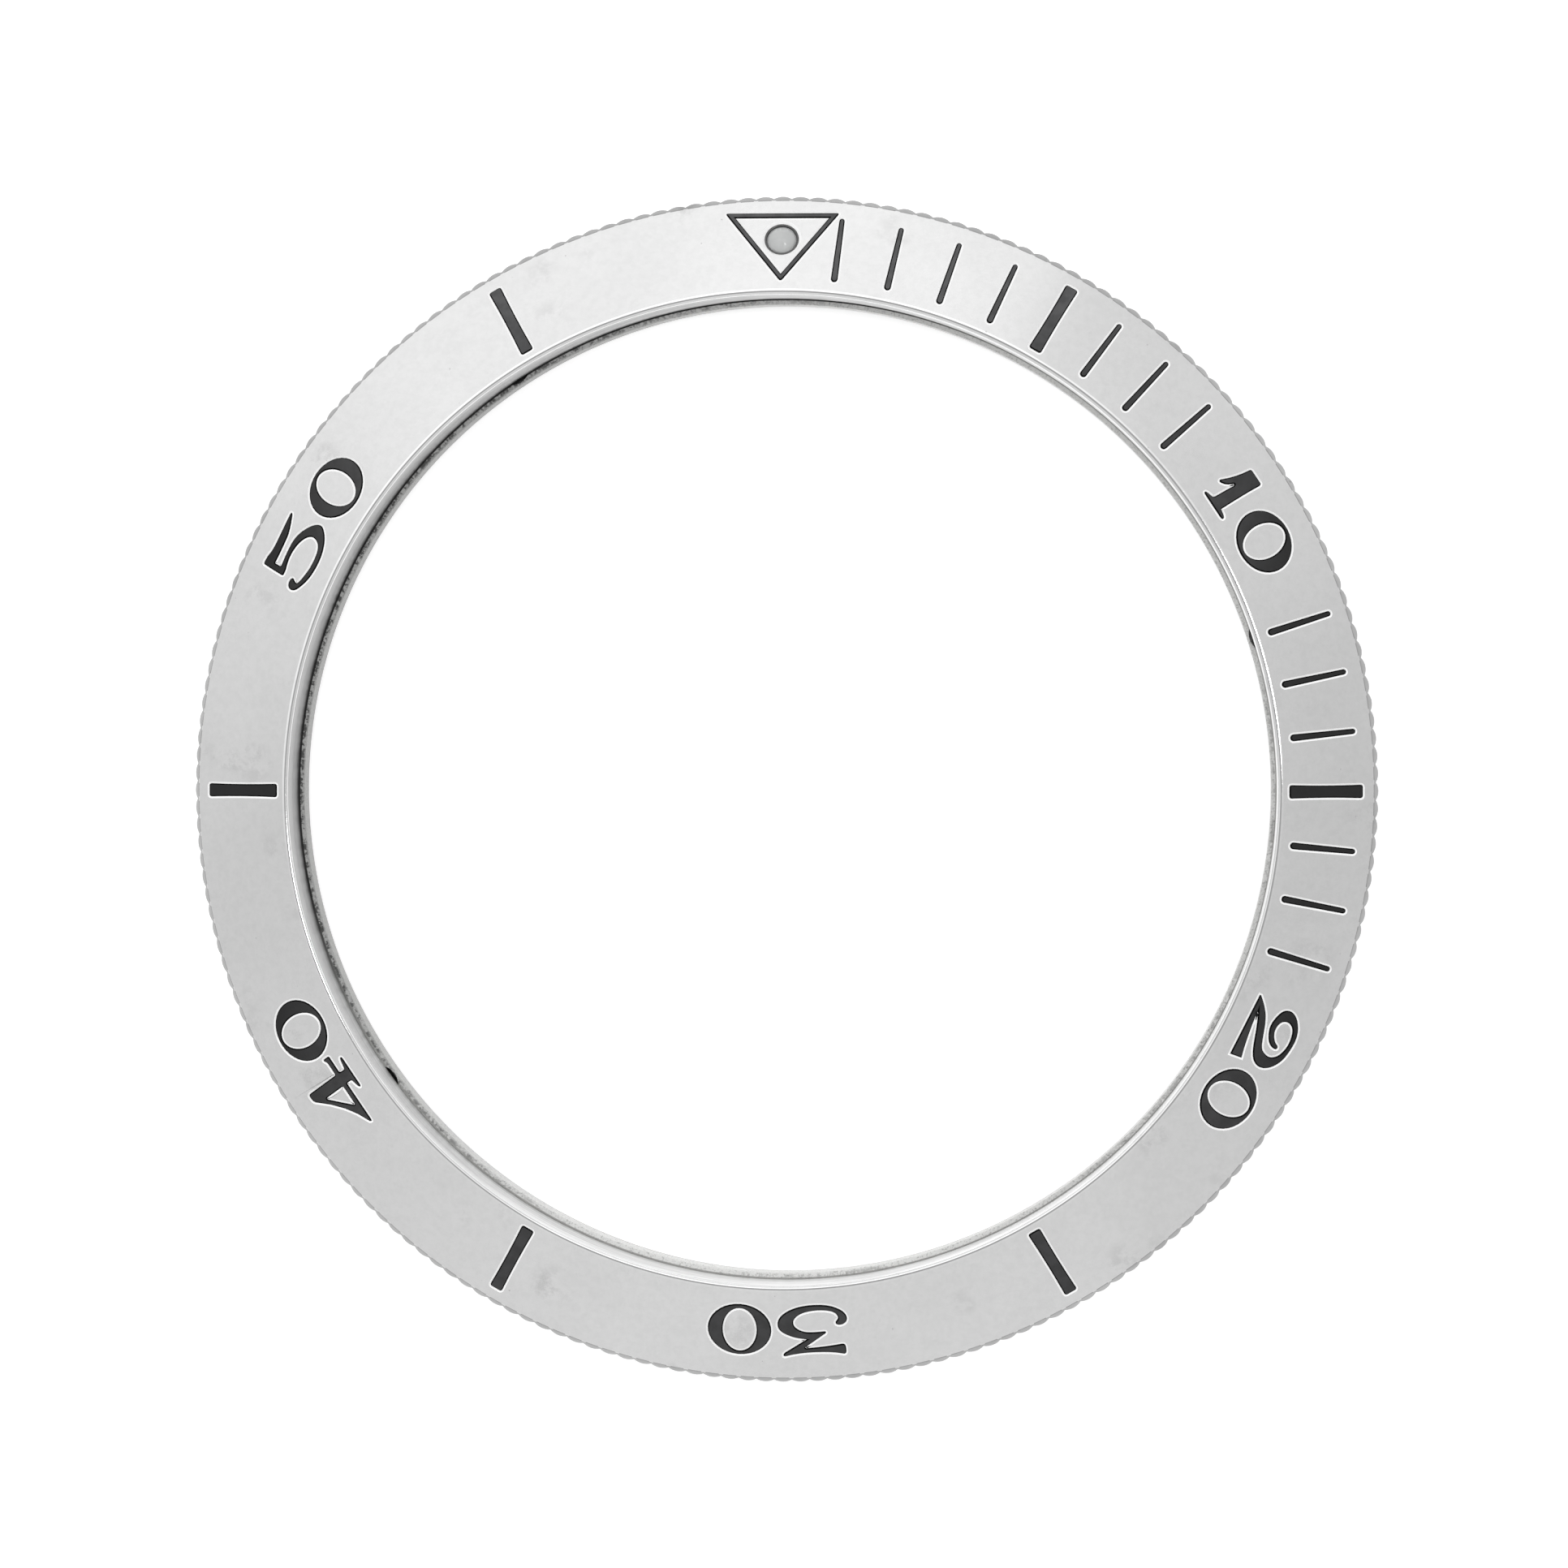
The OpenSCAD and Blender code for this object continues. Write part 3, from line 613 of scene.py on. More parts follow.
class BEZEL_OT_pearl(bpy.types.Operator):
    """Build the pearl: its dark cup, the luminous pellet and the clear dome"""

    bl_idname = "bezel.pearl"
    bl_label = "Pearl"

    def execute(self, context):
        settings = context.scene.bezel_pearl_settings
        ring = context.scene.bezel_ring_settings
        stand = pearl_place(ring)
        sizes = pearl_sizes(ring)
        radius, bottom, top = sizes["pearl_cup"]
        inner = radius - settings.wall
        floor = bottom + settings.floor
        soft = settings.break_edge
        rim = top - settings.sunk
        cup = outline(
            [
                (0, bottom, 0, 1), (radius, bottom, 0, 1), (radius, rim, soft, 4), (inner, rim, soft, 4),
                (inner, floor, 0, 1), (0, floor, 0, 1),
            ]
        )
        _, lume_low, lume_top = sizes["pearl_lume"]
        lume = outline(
            [(0, lume_low, 0, 1), (inner, lume_low, 0, 1), (inner, lume_top, soft, 4), (0, lume_top, 0, 1)]
        )
        crown = sizes["pearl_dome"][2]
        bulge = crown - top + settings.dome_edge
        ball = (inner**2 + bulge**2) / (2 * bulge)
        reach = math.degrees(math.asin(inner / ball))
        dome = outline(
            [(0, lume_top, 0, 1), (inner, lume_top, 0, 1)]
            + arc((0, crown - ball), ball, 90 - reach, 90, 12)
        )
        parts = (
            ("pearl_cup", cup, "cup_steel", dark_cup()),
            ("pearl_lume", lume, "lume", pellet()),
            ("pearl_dome", dome, "pearl_clear", clear_resin()),
        )
        for node, shape, slot, material in parts:
            turn(shape, PEARL_STEPS)
            bmesh.ops.transform(shape, matrix=stand, verts=shape.verts)
            piece = add_piece(f"{node}_turned", shape)
            dress(piece, "bezel", [material], [node])
        return {"FINISHED"}


def seat_section(settings, bore, outer, foot, top):
    """The seat ring's outline, with the wire's groove."""
    groove, half, reach = wire_groove(outer)
    return outline(
        [(bore + settings.lead_in, foot, 0, 1), (outer, foot, EDGE_ROUND, 2)]
        + arc(groove, half, -reach, reach - 360, 16)
        + [
            (outer, top, EDGE_ROUND, 2), (bore, top, RIM_ROUND, 2),
            (bore, foot + settings.lead_in, FINE_ROUND, 2),
        ]
    )


def stand_cutter(shape, radius, depth, segments, matrix):
    """Adds an upright round cutter to a shape."""
    bmesh.ops.create_cone(
        shape, cap_ends=True, segments=segments, radius1=radius, radius2=radius, depth=depth, matrix=matrix,
    )


def seat_cutters(settings, bore, top):
    """The pockets of the click balls, and the reliefs that reach in under the gasket."""
    shape = bmesh.new()
    for k in (1, 2, 3):
        low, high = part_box(f"click_ball_{k}")
        middle = (low + high) / 2
        pocket_r = (high.z - low.z) / 2 + settings.ball_gap
        stand = Matrix.Translation((middle.x, middle.y, settings.pocket_floor + top))
        stand_cutter(shape, pocket_r, 2 * top, 64, stand)
    relief_at = bore + settings.relief_rim + settings.relief_d / 2
    for clock in RELIEFS:
        stand = Matrix.Rotation(math.radians(-clock), 4, "Z") @ Matrix.Translation((0, relief_at, top))
        stand_cutter(shape, settings.relief_d / 2, 2 * settings.relief_depth, 96, stand)
    bmesh.ops.recalc_face_normals(shape, faces=shape.faces)
    return shape


class BEZEL_OT_seat(bpy.types.Operator):
    """Build the seat ring with its groove, ball pockets and reliefs, and the gasket on it"""

    bl_idname = "bezel.seat"
    bl_label = "Seat ring and gasket"

    def execute(self, context):
        settings = context.scene.bezel_seat_settings
        low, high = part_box("seat_ring")
        bore = MOUNTS["case_bore"]["dims"]["r_mm"] * MM
        shape = seat_section(settings, bore, radii("seat_ring")[1], low.z, high.z)
        turn(shape, settings.steps)
        piece = add_piece("seat_turned", shape)
        carve(piece, seat_cutters(settings, bore, high.z))
        dress(piece, "seat", [rough_steel()], ["seat_ring"])

        low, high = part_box("friction_gasket")
        inner, outer = radii("friction_gasket")
        soft = settings.gasket_round
        band = outline(
            [
                (inner, low.z, soft, 4), (outer, low.z, soft, 4), (outer, high.z, soft, 4),
                (inner, high.z, soft, 4),
            ]
        )
        turn(band, settings.steps)
        piece = add_piece("gasket_band", band)
        dress(piece, "seat", [gasket_rubber()], ["friction_gasket"])
        return {"FINISHED"}


class BEZEL_OT_wire(bpy.types.Operator):
    """Build the split retaining wire"""

    bl_idname = "bezel.wire"
    bl_label = "Retaining wire"

    def execute(self, context):
        low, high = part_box("retaining_wire")
        inner, outer = radii("retaining_wire")
        radius, middle, height = (outer - inner) / 2, (outer + inner) / 2, (low.z + high.z) / 2
        # The wire is split at 6 o'clock
        ends = [v.co for v in NODES["retaining_wire"].data.vertices if v.co.y < -0.9 * outer]
        split = 2 * min(abs(math.atan2(co.x, -co.y)) for co in ends)
        shape = bmesh.new()
        stand = (
            Matrix.Rotation(split / 2 - math.pi / 2, 4, "Z")
            @ Matrix.Translation((middle, 0, height))
            @ Matrix.Rotation(math.pi / 2, 4, "X")
        )
        bmesh.ops.create_circle(shape, cap_ends=True, segments=20, radius=radius, matrix=stand)
        start = shape.faces[:]
        bmesh.ops.spin(
            shape, geom=start + shape.edges[:] + shape.verts[:], cent=(0, 0, 0), axis=(0, 0, 1),
            angle=math.tau - split, steps=360,
        )
        bmesh.ops.recalc_face_normals(shape, faces=shape.faces)
        rims = [edge for edge in shape.edges if edge.calc_face_angle() > math.radians(60)]
        bmesh.ops.bevel(
            shape, geom=rims, offset=context.scene.bezel_click_settings.end_round, offset_type="OFFSET",
            segments=3, profile=0.5, affect="EDGES", material=-1,
        )
        dress(add_piece("wire_drawn", shape), "bezel", [spring_steel()], ["retaining_wire"])
        return {"FINISHED"}


class BEZEL_OT_clicks(bpy.types.Operator):
    """Wind the click springs and polish the click balls"""

    bl_idname = "bezel.clicks"
    bl_label = "Click balls and springs"

    def execute(self, context):
        settings = context.scene.bezel_click_settings
        for k in (1, 2, 3):
            node = f"click_spring_{k}"
            low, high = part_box(node)
            ball = sum(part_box(f"click_ball_{k}"), Vector()) / 2
            radius = max((v.co.xy - ball.xy).length for v in NODES[node].data.vertices) - settings.wire_d / 2
            bottom = low.z + settings.wire_d / 2
            rise = high.z - low.z - settings.wire_d
            shape = bmesh.new()
            start = Matrix.Translation((ball.x + radius, ball.y, bottom))
            bmesh.ops.create_circle(
                shape, cap_ends=True, segments=14, radius=settings.wire_d / 2,
                matrix=start @ Matrix.Rotation(math.pi / 2, 4, "X"),
            )
            steps = round(settings.turns * settings.turn_steps)
            bmesh.ops.spin(
                shape, geom=shape.faces[:] + shape.edges[:] + shape.verts[:], cent=(ball.x, ball.y, 0),
                axis=(0, 0, 1), dvec=(0, 0, rise / steps), angle=math.tau * settings.turns, steps=steps,
            )
            bmesh.ops.recalc_face_normals(shape, faces=shape.faces)
            piece = add_piece(f"spring_wound_{k}", shape)
            dress(piece, "seat", [spring_steel()], [node])
            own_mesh(piece)
            shine = NODES[f"click_ball_{k}"]
            shine.data.materials.clear()
            shine.data.materials.append(ball_steel())
        return {"FINISHED"}


def place(tree, kind, inputs=None, **settings):
    """Adds a shader node. Each input takes a value or another node's socket."""
    node = tree.nodes.new(kind)
    for name, value in settings.items():
        setattr(node, name, value)
    for name, value in (inputs or {}).items():
        if isinstance(value, bpy.types.NodeSocket):
            tree.links.new(value, node.inputs[name])
        else:
            node.inputs[name].default_value = value
    return node


def ramp(tree, value, low, high, bottom=0.0, top=1.0):
    """Maps a stretch of a value smoothly to another stretch."""
    inputs = {"Value": value, "From Min": low, "From Max": high, "To Min": bottom, "To Max": top}
    return place(tree, "ShaderNodeMapRange", inputs, interpolation_type="SMOOTHSTEP").outputs["Result"]


def sum_of(tree, first, second, factor=1.0):
    """Adds a share of one value to another."""
    inputs = {0: second, 1: factor, 2: first}
    return place(tree, "ShaderNodeMath", inputs, operation="MULTIPLY_ADD").outputs[0]


def product_of(tree, first, second):
    """Multiplies two values."""
    return place(tree, "ShaderNodeMath", {0: first, 1: second}, operation="MULTIPLY").outputs[0]


def noise(tree, position, scale, detail=3, roughness=0.5):
    """Soft noise with a number of blobs a metre."""
    inputs = {"Vector": position, "Scale": scale, "Detail": detail, "Roughness": roughness}
    return place(tree, "ShaderNodeTexNoise", inputs).outputs["Fac"]


def radius_of(tree, axes):
    """The distance from the ring's axis."""
    flat = place(tree, "ShaderNodeCombineXYZ", {"X": axes["X"], "Y": axes["Y"]})
    return place(tree, "ShaderNodeVectorMath", {0: flat.outputs[0]}, operation="LENGTH").outputs["Value"]


def distance_from(tree, position, spot):
    """The distance from a spot."""
    inputs = {0: position, 1: spot}
    return place(tree, "ShaderNodeVectorMath", inputs, operation="DISTANCE").outputs["Value"]


def towards(tree, position, clock):
    """The cosine of the angle between a place on the ring and a clock angle in degrees."""
    flat = place(tree, "ShaderNodeVectorMath", {0: position, 1: (1, 1, 0)}, operation="MULTIPLY")
    unit = place(tree, "ShaderNodeVectorMath", {0: flat.outputs[0]}, operation="NORMALIZE")
    inputs = {0: unit.outputs[0], 1: (*clock_way(clock), 0)}
    return place(tree, "ShaderNodeVectorMath", inputs, operation="DOT_PRODUCT").outputs["Value"]


def blackened_side(tree, position):
    """Where the gasket shows black and the steel beside it is painted black as painted shade, from 0 to 1."""
    return ramp(tree, towards(tree, position, BLACK_SHADE_SIDE), 0.2, 0.6)


def mixed(tree, mask, low, high):
    """A colour that goes from one to another with a mask. Each is three numbers or another node's socket."""
    # A Mix node's colours are its inputs 6 and 7, and its output 2
    node = place(tree, "ShaderNodeMix", data_type="RGBA")
    tree.links.new(mask, node.inputs[0])
    for index, value in ((6, low), (7, high)):
        if isinstance(value, bpy.types.NodeSocket):
            tree.links.new(value, node.inputs[index])
        else:
            node.inputs[index].default_value = (*value, 1)
    return node.outputs[2]


def tinted(value, factor):
    """A colour made darker or lighter by a factor."""
    return [part * factor for part in value]


def roughen(tree, shader, height, strength, depth):
    """Gives a shader a relief of a depth."""
    bump = place(tree, "ShaderNodeBump", {"Strength": strength, "Distance": depth, "Height": height})
    tree.links.new(bump.outputs["Normal"], shader.inputs["Normal"])


def start_group(name, inputs, outputs):
    """A new node group with named sockets, and the sockets inside it."""
    group = bpy.data.node_groups.new(name, "ShaderNodeTree")
    for socket, kind in inputs:
        group.interface.new_socket(socket, in_out="INPUT", socket_type=kind)
    for socket in outputs:
        group.interface.new_socket(socket, in_out="OUTPUT", socket_type="NodeSocketFloat")
    return group, group.nodes.new("NodeGroupInput").outputs, group.nodes.new("NodeGroupOutput").inputs


def wear_group():
    """Soft clouds, a fine mottle, small specks, hair scratches and smudges, each from 0 to 1."""
    name = "Fine wear"
    if name in bpy.data.node_groups:
        return bpy.data.node_groups[name]
    sockets = [
        ("Position", "NodeSocketVector"),
        ("Specks a metre", "NodeSocketFloat"),
        ("Amount", "NodeSocketFloat"),
    ]
    group, given, result = start_group(name, sockets, ["Clouds", "Mottle", "Specks", "Scratches", "Smudges"])
    position = given["Position"]
    group.links.new(ramp(group, noise(group, position, 170, 4, 0.6), 0.35, 0.7), result["Clouds"])
    group.links.new(ramp(group, noise(group, position, 3200, 6, 0.75), 0.35, 0.7), result["Mottle"])
    cells = place(
        group, "ShaderNodeTexVoronoi", {"Vector": position, "Scale": given["Specks a metre"]},
        feature="F1", distance="EUCLIDEAN",
    )
    speck = product_of(group, ramp(group, cells.outputs["Color"], 0.55, 0.95), given["Amount"])
    inside = place(group, "ShaderNodeMath", {0: speck, 1: cells.outputs["Distance"]}, operation="SUBTRACT")
    group.links.new(ramp(group, inside.outputs[0], 0, 0.03), result["Specks"])
    drawn_out = {"Vector": position, "Rotation": (0, 0, 0.7), "Scale": (260, 14000, 260)}
    hairs = noise(group, place(group, "ShaderNodeMapping", drawn_out).outputs["Vector"], 1, 2)
    group.links.new(ramp(group, hairs, 0.7, 0.78), result["Scratches"])
    grease = ramp(group, noise(group, position, 420, 2), 0.6, 0.75)
    for clock, radius, size in MARKS_OF_USE:
        across, up = clock_way(clock)
        away = distance_from(group, position, (radius * across * MM, radius * up * MM, 3 * MM))
        grease = sum_of(group, grease, ramp(group, away, 0.3 * size * MM, size * MM, 0.8, 0))
    patchy = ramp(group, noise(group, position, 1500, 5, 0.7), 0.42, 0.62)
    group.links.new(product_of(group, grease, patchy), result["Smudges"])
    return group


def turning_group():
    """Fine lines that run round the ring's axis, from 0 to 1."""
    name = "Turning lines"
    if name in bpy.data.node_groups:
        return bpy.data.node_groups[name]
    sockets = [("Position", "NodeSocketVector"), ("Lines a metre", "NodeSocketFloat")]
    group, given, result = start_group(name, sockets, ["Lines"])
    axes = place(group, "ShaderNodeSeparateXYZ", {"Vector": given["Position"]}).outputs
    across = product_of(group, radius_of(group, axes), given["Lines a metre"])
    up = product_of(group, axes["Z"], given["Lines a metre"])
    around = product_of(group, axes["X"], 260)
    vector = place(group, "ShaderNodeCombineXYZ", {"X": across, "Y": up, "Z": around}).outputs[0]
    group.links.new(noise(group, vector, 1, 3, 0.7), result["Lines"])
    return group


def start_material(name):
    """A new material, its node tree and shader, and the piece's own coordinates."""
    material = bpy.data.materials.new(name)
    material.use_nodes = True
    tree = material.node_tree
    position = tree.nodes.new("ShaderNodeTexCoord").outputs["Object"]
    return material, tree, tree.nodes["Principled BSDF"], position


def steel_finish(name, tone, rough, line_depth=0.15, speck_amount=0.1, spread=0.05):
    """Steel with turning lines, soft clouds, specks, hair scratches and smudges."""
    if name in bpy.data.materials:
        return bpy.data.materials[name]
    material, tree, shader, position = start_material(name)
    wear = place(tree, "ShaderNodeGroup", node_tree=wear_group())
    tree.links.new(position, wear.inputs["Position"])
    wear.inputs["Specks a metre"].default_value = SPECKS
    wear.inputs["Amount"].default_value = speck_amount
    turned = place(tree, "ShaderNodeGroup", node_tree=turning_group())
    tree.links.new(position, turned.inputs["Position"])
    turned.inputs["Lines a metre"].default_value = FINE_LINES
    clouds = mixed(tree, wear.outputs["Clouds"], tone, tinted(tone, 1 - spread))
    clouds = mixed(tree, product_of(tree, wear.outputs["Mottle"], spread), clouds, (0, 0, 0))
    smudged = mixed(tree, wear.outputs["Smudges"], clouds, tinted(tone, 0.8))
    dirt_and_shade = mixed(tree, wear.outputs["Specks"], smudged, tinted(tone, 0.7))
    tree.links.new(dirt_and_shade, shader.inputs["Base Color"])
    roughness = ramp(tree, wear.outputs["Clouds"], 0, 1, rough, rough * 1.25)
    for mark, amount in (("Scratches", 0.1), ("Specks", 0.15), ("Smudges", 0.16)):
        roughness = sum_of(tree, roughness, wear.outputs[mark], amount)
    tree.links.new(roughness, shader.inputs["Roughness"])
    relief = sum_of(tree, turned.outputs["Lines"], wear.outputs["Scratches"], -0.3)
    relief = sum_of(tree, relief, wear.outputs["Specks"], -0.8)
    roughen(tree, shader, relief, line_depth, 0.004 * MM)
    shader.inputs["Metallic"].default_value = 1
    return material


def satin_steel():
    """The dial face's fine satin finish."""
    ring = bpy.context.scene.bezel_ring_settings
    return steel_finish("Satin steel", ring.steel, ring.satin)


def polished_steel():
    """The bright edge between the dial face and the opening."""
    ring = bpy.context.scene.bezel_ring_settings
    return steel_finish("Polished steel", ring.steel, ring.polish, line_depth=0.05)


def lip_painted_highlight():
    """The bright chamfers round the marks, painted near white with little metal as a painted highlight that
    takes light from all sides.
    """
    ring = bpy.context.scene.bezel_ring_settings
    material = steel_finish("Lip painted highlight", ring.bright, 0.45, line_depth=0.02, speck_amount=0, spread=0)
    material.node_tree.nodes["Principled BSDF"].inputs["Metallic"].default_value = 0.1
    return material


def grip_shaded_steel():
    """The shoulder and the lobes, in steel darkened as painted shade."""
    ring = bpy.context.scene.bezel_ring_settings
    return steel_finish("Grip steel painted shade", ring.grip, 0.26, line_depth=0.3, speck_amount=0.16, spread=0.08)


def spring_steel():
    """Half-bright drawn wire."""
    clicks = bpy.context.scene.bezel_click_settings
    return steel_finish("Spring steel", clicks.steel, 0.25, line_depth=0.2)


def ball_steel():
    """The click balls' mirror polish."""
    clicks = bpy.context.scene.bezel_click_settings
    return steel_finish("Ball steel", clicks.steel, 0.06, line_depth=0.02)


def dark_cup():
    """The pearl's dark cup."""
    return steel_finish("Dark cup", bpy.context.scene.bezel_pearl_settings.cup, 0.35)


def wall_steel():
    """The opening's wall, streaked, with painted shade: darker towards 9 and 10 o'clock and darkest just
    above the gasket.
    """
    ring = bpy.context.scene.bezel_ring_settings
    material, tree, shader, position = start_material("Wall steel")
    height = place(tree, "ShaderNodeSeparateXYZ", {"Vector": position}).outputs["Z"]
    # Painted shade: darker towards the shaded side, over more of the ring higher up
    shade_side = towards(tree, position, SHADED_SIDE)
    lower = mixed(tree, ramp(tree, shade_side, 0.55, 0.95), ring.steel, ring.wall)
    upper = mixed(tree, ramp(tree, shade_side, -0.3, 0.9), ring.steel, ring.wall)
    side_darkened = mixed(tree, ramp(tree, height, 2 * MM, 3 * MM), lower, upper)
    turned = place(tree, "ShaderNodeGroup", node_tree=turning_group())
    tree.links.new(position, turned.inputs["Position"])
    turned.inputs["Lines a metre"].default_value = WALL_LINES
    lines = ramp(tree, turned.outputs["Lines"], 0.35, 0.65)
    streaked = mixed(tree, product_of(tree, lines, 0.4), side_darkened, ring.streak_and_shade)
    streaks = ramp(tree, noise(tree, position, 1600, 4, 0.6), 0.3, 0.8)
    # Painted shade just above the gasket, with a ragged edge: black on the black side, darkened steel
    # elsewhere
    unshaded = sum_of(tree, ramp(tree, height, 1.5 * MM, 2 * MM), streaks, -0.25)
    streak_and_shade = mixed(tree, blackened_side(tree, position), tinted(ring.steel, 0.7), ring.streak_and_shade)
    tree.links.new(mixed(tree, unshaded, streak_and_shade, streaked), shader.inputs["Base Color"])
    shader.inputs["Metallic"].default_value = 1
    shader.inputs["Roughness"].default_value = 0.3
    roughen(tree, shader, sum_of(tree, streaks, lines, 0.6), 0.3, 0.01 * MM)
    return material


def rough_steel():
    """The seat ring's dull, pitted steel, with painted shade: darker on the shaded side and towards its foot,
    black in the hollows under the gasket, and beside the gasket black on one side and the dust colour
    elsewhere.
    """
    settings = bpy.context.scene.bezel_seat_settings
    material, tree, shader, position = start_material("Rough steel")
    pits = noise(tree, position, 15000, 5, 0.7)
    pitted = ramp(tree, pits, 0.5, 0.66)
    # Painted shade: the steel darkens towards the shaded side
    shade_side = ramp(tree, towards(tree, position, SHADED_SIDE), 0.1, 0.85)
    patches = sum_of(tree, ramp(tree, noise(tree, position, 110, 2), 0.42, 0.6, 0, 0.4), shade_side)
    axes = place(tree, "ShaderNodeSeparateXYZ", {"Vector": position}).outputs
    gasket_in = radii("friction_gasket")[0]
    radius = radius_of(tree, axes)
    # Blots just inside the gasket: a mottle of the steel, stronger on the shaded side as painted shade
    near = ramp(tree, radius, gasket_in - 0.2 * MM, gasket_in - 0.1 * MM)
    blots = ramp(tree, noise(tree, position, 6500, 4, 0.65), 0.44, 0.57)
    stained_and_shaded = product_of(tree, product_of(tree, blots, near), patches)
    steel = mixed(tree, shade_side, settings.steel, tinted(settings.steel, 0.6))
    base = mixed(tree, product_of(tree, pitted, 0.35), steel, tinted(settings.steel, 0.2))
    base = mixed(tree, stained_and_shaded, base, tinted(settings.steel, 0.12))
    # Painted shade beside the gasket: black on the black side, the dust colour elsewhere
    dirt_and_shade = ramp(tree, radius, gasket_in - 0.06 * MM, gasket_in - 0.03 * MM)
    base = mixed(tree, dirt_and_shade, base, mixed(tree, blackened_side(tree, position), settings.dust, settings.rubber))
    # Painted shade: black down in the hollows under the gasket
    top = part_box("seat_ring")[1].z
    below = ramp(tree, axes["Z"], top - 0.2 * MM, top - 0.05 * MM, 1, 0)
    sunk = product_of(tree, below, ramp(tree, axes["Z"], top / 2, top * 0.6))
    base = mixed(tree, product_of(tree, sunk, dirt_and_shade), base, settings.rubber)
    # Painted shade: darker towards the foot that stands on the floor
    foot = ramp(tree, axes["Z"], 0.1 * MM, 0.3 * MM, 0.7, 0)
    tree.links.new(mixed(tree, foot, base, settings.rubber), shader.inputs["Base Color"])
    tree.links.new(ramp(tree, pitted, 0, 1, 0.5, 0.75), shader.inputs["Roughness"])
    roughen(tree, shader, pits, 0.8, settings.ragged)
    shader.inputs["Metallic"].default_value = 0.6
    return material


def enamel_paint():
    """Dark enamel, a little mottled, with a painted reflection that makes it greyest round 12 o'clock and
    darkest at 3 and 9 o'clock.
    """
    settings = bpy.context.scene.bezel_enamel_settings
    material, tree, shader, position = start_material("Enamel")
    grain = noise(tree, position, 9000)
    patches = ramp(tree, noise(tree, position, 2400, 3), 0.35, 0.7)
    axes = place(tree, "ShaderNodeSeparateXYZ", {"Vector": position}).outputs
    aside = place(tree, "ShaderNodeMath", {0: axes["X"]}, operation="ABSOLUTE").outputs[0]
    # Painted reflection: darker towards 3 and 9 o'clock, lighter towards 12 o'clock
    paint = mixed(tree, ramp(tree, aside, 14.5 * MM, 17.5 * MM), settings.paint, tinted(settings.paint, 0.25))
    paint = mixed(tree, ramp(tree, axes["Y"], 13.5 * MM, 17 * MM), paint, tinted(settings.paint, 2))
    paint = mixed(tree, product_of(tree, patches, 0.4), paint, tinted(settings.paint, 0.3))
    tree.links.new(paint, shader.inputs["Base Color"])
    roughness = ramp(tree, grain, 0.3, 0.7, settings.gloss, settings.gloss * 1.5)
    tree.links.new(roughness, shader.inputs["Roughness"])
    roughen(tree, shader, grain, 0.35, 0.006 * MM)
    shader.inputs["Specular IOR Level"].default_value = settings.sheen
    return material


def enamel_edge_shade():
    """Painted shade, black, on the walls of each mark and round the enamel's rim."""
    name = "Enamel edge shade"
    if name in bpy.data.materials:
        return bpy.data.materials[name]
    settings = bpy.context.scene.bezel_enamel_settings
    material, tree, shader, position = start_material(name)
    grain = noise(tree, position, 12000, 4)
    edge = mixed(tree, ramp(tree, grain, 0.5, 0.8), tinted(settings.paint, 0.1), tinted(settings.paint, 0.5))
    tree.links.new(edge, shader.inputs["Base Color"])
    roughen(tree, shader, grain, 0.4, 0.006 * MM)
    shader.inputs["Roughness"].default_value = 0.7
    shader.inputs["Specular IOR Level"].default_value = 0.1
    return material


def pellet():
    """The luminous pellet, chalky and a little grainy, with painted shade greying it towards its rim."""
    settings = bpy.context.scene.bezel_pearl_settings
    material, tree, shader, position = start_material("Luminous pellet")
    grain = noise(tree, position, 14000)
    chalk = mixed(tree, grain, settings.lume, tinted(settings.lume, 0.88))
    low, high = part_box("pearl_lume")
    middle = (low + high) / 2
    # Painted shade: greyer towards the rim
    rim = ramp(tree, distance_from(tree, position, middle), 0.18 * MM, (high.x - low.x) / 2)
    tree.links.new(mixed(tree, rim, chalk, tinted(settings.lume, 0.55)), shader.inputs["Base Color"])
    roughen(tree, shader, grain, 0.3, 0.01 * MM)
    shader.inputs["Roughness"].default_value = 0.8
    return material


def clear_resin():
    """The pearl's clear dome, slightly hazed."""
    settings = bpy.context.scene.bezel_pearl_settings
    material, tree, shader, position = start_material("Clear resin")
    haze = noise(tree, position, 2600)
    resin = mixed(tree, haze, settings.resin, tinted(settings.resin, 0.92))
    tree.links.new(resin, shader.inputs["Base Color"])
    tree.links.new(ramp(tree, haze, 0.3, 0.7, 0.03, 0.08), shader.inputs["Roughness"])
    shader.inputs["Transmission Weight"].default_value = 0.6
    shader.inputs["IOR"].default_value = 1.5
    return material


def gasket_rubber():
    """Black rubber, dusty on one side."""
    settings = bpy.context.scene.bezel_seat_settings
    material, tree, shader, position = start_material("Gasket rubber")
    dust = noise(tree, position, 3500, 4)
    bloom = mixed(tree, ramp(tree, dust, 0.5, 0.8), settings.rubber, tinted(settings.rubber, 3))
    dusty = mixed(tree, ramp(tree, dust, 0.3, 0.6), settings.dust, tinted(settings.dust, 0.5))
    bloom = mixed(tree, blackened_side(tree, position), dusty, bloom)
    tree.links.new(bloom, shader.inputs["Base Color"])
    roughen(tree, shader, dust, 0.4, 0.01 * MM)
    shader.inputs["Roughness"].default_value = 0.6
    return material


